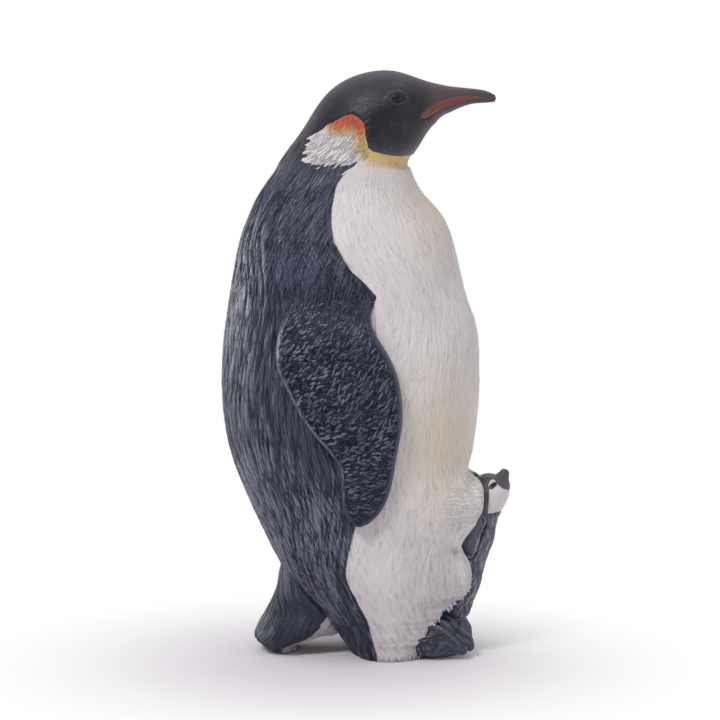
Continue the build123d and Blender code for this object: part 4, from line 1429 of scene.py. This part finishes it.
def makeTufts():
    f = tuftForm
    pick = np.random.default_rng(f["seed"])
    tree = growTree("hemTufts", "GeometryNodeMeshCone", f["mesh"], makePaleFinish("hemTuftPaint"))
    places, turns, sizes = [], [], []
    for side in (-1, 1):
        for z in pick.uniform(0.5, f["topHeight"], f["count"]):
            ahead, middle = foldCrest(z)
            angle = math.radians(pick.normal(*f["turn"])) * easeStep(0.3, 2.5, z)
            way = Vector((math.cos(angle), side * pick.normal(0.12, 0.15), math.sin(angle)))
            y = side * (middle + pick.uniform(-0.5, 0.6))
            skin = castFront(bodyTree, y, z)
            x = min(ahead, skin[0]) if skin is not None else ahead
            places.append((x - 0.45, y, max(z, 0.6)))
            turns.append(turnTo(way, (0, side, 0)))
            sizes.append(np.array(f["size"]) * (0.6 + 0.4 * easeStep(f["topHeight"], 8, z)))
    # and a low row along the ground
    belly = np.arange(bodyForm["backColumns"], bodyColumns)
    ground = belly[abs(bodyY[0, belly]) > foldCrest(0.5)[1] - 0.5]
    for j in pick.choice(ground, f["groundCount"]):
        i = int(pick.integers(1, 5))
        outward = bodyNormals[i, j] * np.array([1, 1, 0])
        way = outward * pick.uniform(0.1, 0.5) + np.array([pick.normal(0, 0.25), 0, -1])
        places.append(bodySkin[i, j] - outward * 0.2)
        turns.append(turnTo(Vector(way), outward))
        low = np.array(f["size"]) * np.array(f["groundShare"])
        sizes.append(low * min(1, bodySkin[i, j, 2] / 0.75))
    least, most = f["sizes"]
    settings = {"Least": least, "Most": most, "Seed": f["seed"] + 1}
    return growOnPoints("hemTufts", tree, places, turns, sizes, settings)


tufts = makeTufts()
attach(tufts, "root")
print("tufts grown")


# rounded forms that are blended into one skin, worked in millimetres

def tubeForm(path, radii, sides=20, flat=(1.0, 1.0)):
    # closed tube through the points of a path; flat squeezes it across and upwards
    path, radii = np.array(path, float), np.array(radii, float)
    steps = np.linspace(0, len(path) - 1, 6 * len(path))
    middle, reach = curveBetween(path, steps), curveBetween(radii, steps)
    along = np.gradient(middle, axis=0)
    along /= np.linalg.norm(along, axis=1)[:, None]
    across = np.cross(along, np.array([0, 0, 1.0]) + 1e-3 * np.array([1, 0, 0]))
    across /= np.linalg.norm(across, axis=1)[:, None]
    up = np.cross(across, along)
    angles = np.linspace(0, 2 * math.pi, sides, endpoint=False)[None, :, None]
    ring = np.cos(angles) * across[:, None, :] * flat[0] + np.sin(angles) * up[:, None, :] * flat[1]
    points = middle[:, None, :] + ring * reach[:, None, None]
    ends = [middle[0] - along[0] * reach[0] * 0.4, middle[-1] + along[-1] * reach[-1] * 0.4]
    return np.concatenate([points.reshape(-1, 3), ends]), closedFaces(len(points), sides)


def blendForms(forms, voxel, evenings):
    # one closed skin round all the forms: points, outward directions and faces
    points, faces = [], []
    for formPoints, formFaces in forms:
        start = len(points)
        points += [tuple(p) for p in formPoints]
        faces += [[start + i for i in face] for face in formFaces]
    mesh = bpy.data.meshes.new("blend")
    mesh.from_pydata(points, [], faces)
    work = bmesh.new()
    work.from_mesh(mesh)
    bmesh.ops.recalc_face_normals(work, faces=work.faces)
    work.to_mesh(mesh)
    work.free()
    lump = bpy.data.objects.new("blend", mesh)
    bpy.context.scene.collection.objects.link(lump)
    remesh = lump.modifiers.new("remesh", "REMESH")
    remesh.mode = "VOXEL"
    remesh.voxel_size = voxel
    even = lump.modifiers.new("even", "SMOOTH")
    even.iterations = evenings
    skin = bakedMesh(lump)
    flat, ways = np.empty(len(skin.vertices) * 3), np.empty(len(skin.vertices) * 3)
    skin.vertices.foreach_get("co", flat)
    skin.vertex_normals.foreach_get("vector", ways)
    faces = [list(polygon.vertices) for polygon in skin.polygons]
    bpy.data.objects.remove(lump)
    return flat.reshape(-1, 3), ways.reshape(-1, 3), faces


def lumpNoise(points, size, seed, ways=24):
    # smooth uneven field made of slanted waves of about one size
    pick = np.random.default_rng(seed)
    total = np.zeros(len(points))
    for _ in range(ways):
        way = pick.normal(0, 1, 3)
        way *= 2 * math.pi / (size * pick.uniform(0.7, 1.4)) / np.linalg.norm(way)
        total += np.sin(points @ way + pick.uniform(0, 2 * math.pi))
    return total / math.sqrt(ways)


# feet

footForm = {
    "voxel": 0.15,
    # shares of the foot's length, of its half width outwards and of its height, then the radius
    "toes": [
        [
            (0.30, 0.16, 0.66, 1.6), (0.52, 0.26, 0.53, 1.55), (0.675, 0.34, 0.38, 1.4),
            (0.785, 0.38, 0.26, 1.15), (0.85, 0.40, 0.15, 0.6),
        ],
        [
            (0.34, -0.08, 0.75, 1.7), (0.57, -0.06, 0.66, 1.6), (0.75, -0.06, 0.48, 1.45),
            (0.88, -0.06, 0.30, 1.15), (0.955, -0.06, 0.17, 0.55),
        ],
        [
            (0.39, -0.42, 0.735, 1.6), (0.60, -0.50, 0.69, 1.55), (0.765, -0.56, 0.53, 1.4),
            (0.88, -0.60, 0.33, 1.1), (0.945, -0.62, 0.18, 0.55),
        ],
    ],
    "sole": [
        (0.20, 0.0, 0.37, 2.4), (0.42, 0.03, 0.34, 2.4), (0.62, 0.06, 0.30, 2.0), (0.76, 0.04, 0.22, 1.3),
    ],
    "toeSteps": 50,  # along each toe, to find what lies nearest
    "groove": 0.10,
    "crease": 0.13,
    "root": 0.12,  # uneven skin where the toes begin
}


def footPath(rows, low, high, side):
    rows = np.array(rows)
    middle, half = (low[1] + high[1]) / 2, (high[1] - low[1]) / 2
    x = low[0] + rows[:, 0] * (high[0] - low[0])
    return np.stack([x, middle + side * rows[:, 1] * half, rows[:, 2] * high[2]], axis=1), rows[:, 3]


def makeFoot(name, node, side, seed):
    f = footForm
    low, high = boxOf(node)
    toes = [footPath(rows, low, high, side) for rows in f["toes"]]
    forms = [tubeForm(path, radii) for path, radii in toes]
    forms.append(tubeForm(*footPath(f["sole"], low, high, side), flat=(1.4, 1.0)))
    points, ways, faces = blendForms(forms, f["voxel"], 3)
    # grooves along each toe and creases over its joints
    steps = f["toeSteps"]
    fine = [curveBetween(path, np.linspace(0, len(path) - 1, steps)) for path, _ in toes]
    fine = np.concatenate(fine)
    nearest = np.linalg.norm(points[:, None, :] - fine[None], axis=2).argmin(axis=1)
    off = points - fine[nearest]
    share = (nearest % steps) / (steps - 1)
    around = np.arctan2(off[:, 1], off[:, 2]) + 0.5 * lumpNoise(points, 6, seed)
    onTop = easeStep(-0.2, 0.5, ways[:, 2])
    relief = f["groove"] * np.minimum(np.cos(around * 6), 0.35) * easeStep(0.02, 0.2, share) * onTop
    joints = np.sin(share * 2 * math.pi * 2.6 + 1.2 + 0.6 * lumpNoise(points, 3, seed + 1))
    relief -= f["crease"] * onTop * np.maximum(0, joints) ** 10
    relief += f["root"] * lumpNoise(points, 0.9, seed + 2) * easeStep(0.28, 0.02, share)
    points = points + ways * relief[:, None]
    points[:, 2] = np.maximum(points[:, 2], 0.02)
    piece = makeMesh(name, points, faces)
    addField(piece, "relief", relief)
    addVectors(piece, "strand", np.stack([around * 1.5, share * 9, nearest // steps * 20.0], axis=1))
    return piece


footPaint = {
    "deep": (0.006, 0.007, 0.014),
    "slate": (0.046, 0.051, 0.090),
    "dryBrush": (0.20, 0.21, 0.29),
}
footFinish = makeDarkFinish("footSkin", footPaint, (1.5, 0.2, 1.0), rubbedFrom=0.0, gloss=0.5, lines=0.45)
for side, word in ((-1, "right"), (1, "left")):
    piece = makeFoot(word + "Foot", word + "_foot", side, 70 + 5 * side)
    finishPiece(piece, footFinish, word + "_foot")
print("feet made")


# chick

chickForm = {
    "voxel": 0.17,
    "seed": 80,
    "levelStep": 0.6,
    "columns": 48,
    "rays": 61,
    "cosines": 7,
    "crownShare": 27.0 / 28.4,  # height of the crown under the raised beak
    "beakTip": (21.6, 28.1),  # x and height
    "beakRoot": (20.3, 25.6),
    "beakRadii": (1.9, 1.15, 0.6),
    "cheeks": [(18.9, -3.0, 24.6), (19.0, -1.5, 24.8), (19.0, 1.5, 24.8), (18.9, 3.0, 24.6)],
    "cheekRadii": (1.5, 2.6, 2.6, 1.5),
    # x, height and radius
    "wing": [(17.3, 20.8, 0.7), (16.4, 19.0, 1.05), (15.8, 17.3, 1.15), (15.6, 16.2, 0.8)],
    "wingRise": (0.35, 0.7),  # over the chick's side, and lower down over the belly's fold
    "face": [
        (18.75, 21.9), (26, 21.9), (26, 25.0), (22.3, 25.05), (21.2, 25.6), (20.46, 26.15), (19.95, 26.9),
        (19.5, 27.15), (19.0, 26.9), (18.8, 26.3), (18.9, 25.5), (18.85, 23.7),
    ],
    "eye": (19.5, 26.15),
    "eyeSize": (0.62, 0.46),
    "dome": 24.4,  # height from which the head rounds off
}


def chickBody():
    f = chickForm
    tree, _ = cadTree("chick")
    low, high = boxOf("chick")
    crown = f["crownShare"] * high[2]
    levels = np.arange(low[2] + 0.1, crown - 0.05, f["levelStep"])
    angles = np.linspace(0, math.pi, f["rays"])
    middles, shapes = [], []
    for z in levels:
        front = castFront(tree, 0, z)[0]
        wide = castSide(tree, -1, front - 3.0, z)
        middles.append(front - 3.4 if wide is None else front - 0.85 * abs(wide[1]))
    middles = smoothAlong(np.array(middles), 2.0)
    for x, z in zip(middles, levels):
        reach = []
        for angle in angles:
            way = Vector((math.cos(angle), math.sin(angle), 0))
            hit = tree.ray_cast(Vector((x, 0, z)) + way * farAway, -way)
            reach.append(farAway - hit[3] if hit[0] is not None else 0.0)
        series = fitSeries(angles, np.array(reach), f["cosines"], rounds=6, least=0.12, most=7)
        shapes.append(series)
    shapes = smoothAlong(np.array(shapes), 1.0)
    around = np.linspace(0, 2 * math.pi, f["columns"], endpoint=False)
    reach = sum(shapes[:, k:k + 1] * np.cos(k * around)[None, :] for k in range(f["cosines"]))
    z = np.repeat(levels[:, None], f["columns"], axis=1)
    points = np.stack([middles[:, None] + reach * np.cos(around), reach * np.sin(around), z], axis=-1)
    rise = np.clip((levels - f["dome"]) / (crown + 0.4 - f["dome"]), 0, 1)
    points[..., 1] *= np.sqrt(1 - rise ** 2)[:, None]
    neck = np.exp(-((levels - 20) / 2.2) ** 2)[:, None]
    points[..., 0] -= 0.5 * neck * easeStep(0.2, 0.9, np.cos(around))
    ends = [points[0].mean(axis=0), points[-1].mean(axis=0) + np.array([0, 0, 0.35])]
    points = np.concatenate([points.reshape(-1, 3), ends])
    return (points, closedFaces(len(levels), f["columns"])), tree


def makeChick():
    f = chickForm
    body, tree = chickBody()
    (rx, rz), (tx, tz) = f["beakRoot"], f["beakTip"]
    beak = [(rx, 0, rz), ((rx + tx) / 2 + 0.1, 0, (rz + tz) / 2), (tx, 0, tz)]
    forms = [body, tubeForm(beak, f["beakRadii"]), tubeForm(f["cheeks"], f["cheekRadii"])]
    for side in (-1, 1):
        path = []
        for x, z, _ in f["wing"]:
            sides = [castSide(skin, side, x, z) for skin in (tree, bodyTree)]
            out = max(abs(skin[1]) + rise for skin, rise in zip(sides, f["wingRise"]) if skin is not None)
            path.append((x, side * out, z))
        forms.append(tubeForm(path, [r for _, _, r in f["wing"]], flat=(0.6, 1.0)))
    points, ways, faces = blendForms(forms, f["voxel"], 6)
    x, y, z = points.T
    onFace = areaGap(x, z, f["face"])
    fluff = easeStep(22.2, 21.0, z)
    wingGap = lineGap(x, z, [(a, b) for a, b, _ in f["wing"]])
    onWing = easeStep(1.0, 0.7, wingGap) * (abs(y) > 5)
    # swirling strokes, fewer on the wing
    swirl = lumpNoise(points * np.array([1.9, 1.9, 0.5]), 1.9, f["seed"])
    relief = fluff * (1 - onWing) * (0.10 * np.minimum(abs(swirl), 1) - 0.11 * np.exp(-(swirl / 0.2) ** 2))
    rim = np.exp(-((wingGap - 0.95) / 0.16) ** 2) * easeStep(-0.3, 0.3, x - 15.9 - 0.3 * (z - 17.3))
    groove = np.exp(-((wingGap - 1.3) / 0.17) ** 2)
    fine = lumpNoise(points, 0.9, f["seed"] + 2)
    relief += fluff * (abs(y) > 4) * (0.2 * rim - 0.3 * groove) + 0.015 * fine
    relief -= 0.10 * np.exp(-(onFace / 0.15) ** 2)
    (ex, ez), (eyeLong, eyeHigh) = f["eye"], f["eyeSize"]
    eyeGap = 1 - np.hypot((x - ex - 0.35 * (z - ez)) / eyeLong, (z - ez - 0.3 * (x - ex)) / eyeHigh)
    relief += 0.2 * np.sqrt(np.clip(eyeGap, 0, 1))
    points = points + ways * relief[:, None]
    piece = makeMesh("chick", points, faces)
    fields = {"relief": relief, "face": onFace, "eye": eyeGap, "cap": easeStep(21.6, 22.4, z)}
    for key, values in fields.items():
        addField(piece, key, values)
    addVectors(piece, "strand", np.stack([np.arctan2(y, x - 14) * 4, z, 0 * z], axis=1))
    return piece


chickPaint = {
    "deep": (0.018, 0.018, 0.030),
    "down": (0.070, 0.072, 0.110),
    "dryBrush": (0.21, 0.215, 0.27),
    "cap": (0.060, 0.055, 0.068),
    "capLight": (0.095, 0.088, 0.105),
    "face": (0.51, 0.47, 0.495),
    "faceLight": (0.57, 0.535, 0.555),
    "eye": (0.006, 0.006, 0.007),
}


def makeDownFinish():
    p = chickPaint
    finish, tree, surface = newFinish("chickDown")
    strand, place = wayOf(tree, "strand"), objectPlace(tree)
    thread = noiseOf(tree, strand, 1.0, 2.0, 0.5, (4.0, 1.0, 1.0))
    mottle = noiseOf(tree, place, 420.0, 3.0)
    speck = noiseOf(tree, place, 1600.0, 2.0)
    relief = fieldOf(tree, "relief")
    down = mixPaint(tree, ease(tree, relief, -0.12, 0.02), p["deep"], p["down"])
    rubbed = plusPart(tree, relief, mottle, 0.22)
    down = mixPaint(tree, ease(tree, rubbed, 0.02, 0.15, 0.8), down, p["dryBrush"])
    cap = mixPaint(tree, ease(tree, mottle, 0.35, 0.75), p["cap"], p["capLight"])
    down = mixPaint(tree, fieldOf(tree, "cap"), down, cap)
    edge = plusPart(tree, fieldOf(tree, "face"), mottle, 0.25)
    face = mixPaint(tree, mottle, p["face"], p["faceLight"])
    colour = mixPaint(tree, ease(tree, edge, -0.06, 0.06), down, face)
    isEye = ease(tree, fieldOf(tree, "eye"), -0.05, 0.15)
    colour = mixPaint(tree, isEye, colour, p["eye"])
    shine = calc(tree, "MULTIPLY_ADD", speck, 0.15, 0.42)
    shine = calc(tree, "MULTIPLY_ADD", isEye, -0.25, shine)
    grain = calc(tree, "MULTIPLY_ADD", speck, 0.4, thread)
    wearSurface(tree, surface, colour, shine, bumpFrom(tree, grain, 0.3, 0.00008), 0.4)
    return finish


finishPiece(makeChick(), makeDownFinish(), "chick")
print("chick made")


# floor, light and camera

studio = {
    "sensor": 36.0,
    "cameraDistance": 0.50,
    "cameraPitch": 7.0,
    "frameWidth": 0.1112,  # seen across the picture at the figure's middle
    "aimX": -0.0010,
    "aimZ": 0.0453,
    "walls": 0.27,  # light from all round, with more from above and from behind
    "dome": 0.50,
    "rear": 0.50,
    "tint": (1, 0.985, 1, 1),
    "floorReach": 900,
    "paper": (0.65, 0.622, 0.655, 1),
    # middle of a painted shade round the figure: the floor is lit paper near it and glows white farther
    # out
    "floorShadeMiddle": (-0.005, -0.010, 0),
    "paperNear": 0.011,  # the floor turns to white between these distances
    "paperFar": 0.058,
    "lampAim": (0, 0, 0.045),
    "lamps": {  # place, size and power
        "keyLight": ((-0.28, -0.42, 0.55), 0.14, 2.9),
        "backLight": ((-0.46, 0.36, 0.04), 0.30, 1.7),
        "fillLight": ((0.50, -0.35, 0.22), 0.30, 0.55),
    },
}


def makeWorld():
    world = bpy.data.worlds.new("studio")
    world.use_nodes = True
    tree = world.node_tree
    way = putNode(tree, "SeparateXYZ", {0: putNode(tree, "TexCoord").outputs["Generated"]})
    behind, above = way.outputs[1], way.outputs[2]
    strength = calc(tree, "MULTIPLY_ADD", ease(tree, above, 0.1, 1.0), studio["dome"], studio["walls"])
    strength = calc(tree, "MULTIPLY_ADD", ease(tree, behind, -0.2, 0.9), studio["rear"], strength)
    soft = putNode(tree, "Background", {"Color": studio["tint"], "Strength": strength})
    white = putNode(tree, "Background", {"Color": (1, 1, 1, 1), "Strength": 1.0})
    seen = putNode(tree, "LightPath").outputs["Is Camera Ray"]
    shown = putNode(tree, "MixShader", {0: seen, 1: soft.outputs[0], 2: white.outputs[0]})
    tree.links.new(shown.outputs[0], tree.nodes["World Output"].inputs["Surface"])
    bpy.context.scene.world = world


def makeFloor():
    far = studio["floorReach"]
    corners = [(-far, -far, 0), (far, -far, 0), (far, far, 0), (-far, far, 0)]
    floor = makeMesh("floor", corners, [[0, 1, 2, 3]])
    paper, tree, surface = newFinish("paper")
    ends = {0: objectPlace(tree), 1: studio["floorShadeMiddle"]}
    away = putNode(tree, "VectorMath", ends, operation="DISTANCE").outputs["Value"]
    surface.inputs["Base Color"].default_value = studio["paper"]
    surface.inputs["Roughness"].default_value = 0.8
    surface.inputs["Specular IOR Level"].default_value = 0.1
    # lit paper near the figure fading to glowing white farther out, a painted shade that darkens the floor
    # towards the figure's base
    glow = putNode(tree, "Emission", {"Color": (1, 1, 1, 1), "Strength": 1.0})
    share = ease(tree, away, studio["paperNear"], studio["paperFar"])
    mixed = putNode(tree, "MixShader", {0: share, 1: surface.outputs[0], 2: glow.outputs[0]})
    tree.links.new(mixed.outputs[0], tree.nodes["Material Output"].inputs["Surface"])
    floor.data.materials.append(paper)


def makeCamera():
    s = studio
    pitch = math.radians(s["cameraPitch"])
    lens = bpy.data.cameras.new("camera")
    lens.sensor_width = s["sensor"]
    lens.lens = s["sensor"] * s["cameraDistance"] / s["frameWidth"]
    lens.clip_start = 0.01
    camera = bpy.data.objects.new("camera", lens)
    away, up = s["cameraDistance"] * math.cos(pitch), s["cameraDistance"] * math.sin(pitch)
    camera.location = (s["aimX"], -away, s["aimZ"] + up)
    camera.rotation_euler = (math.radians(90) - pitch, 0, 0)
    bpy.context.scene.collection.objects.link(camera)
    bpy.context.scene.camera = camera
    bpy.context.scene.view_settings.view_transform = "Standard"


def makeLamp(name, place, size, power):
    light = bpy.data.lights.new(name, "AREA")
    light.size = size
    light.energy = power
    lamp = bpy.data.objects.new(name, light)
    lamp.location = place
    lamp.rotation_euler = (Vector(studio["lampAim"]) - Vector(place)).to_track_quat("-Z", "Y").to_euler()
    bpy.context.scene.collection.objects.link(lamp)


makeWorld()
makeFloor()
makeCamera()
for name, lamp in studio["lamps"].items():
    makeLamp(name, *lamp)
print("studio set")
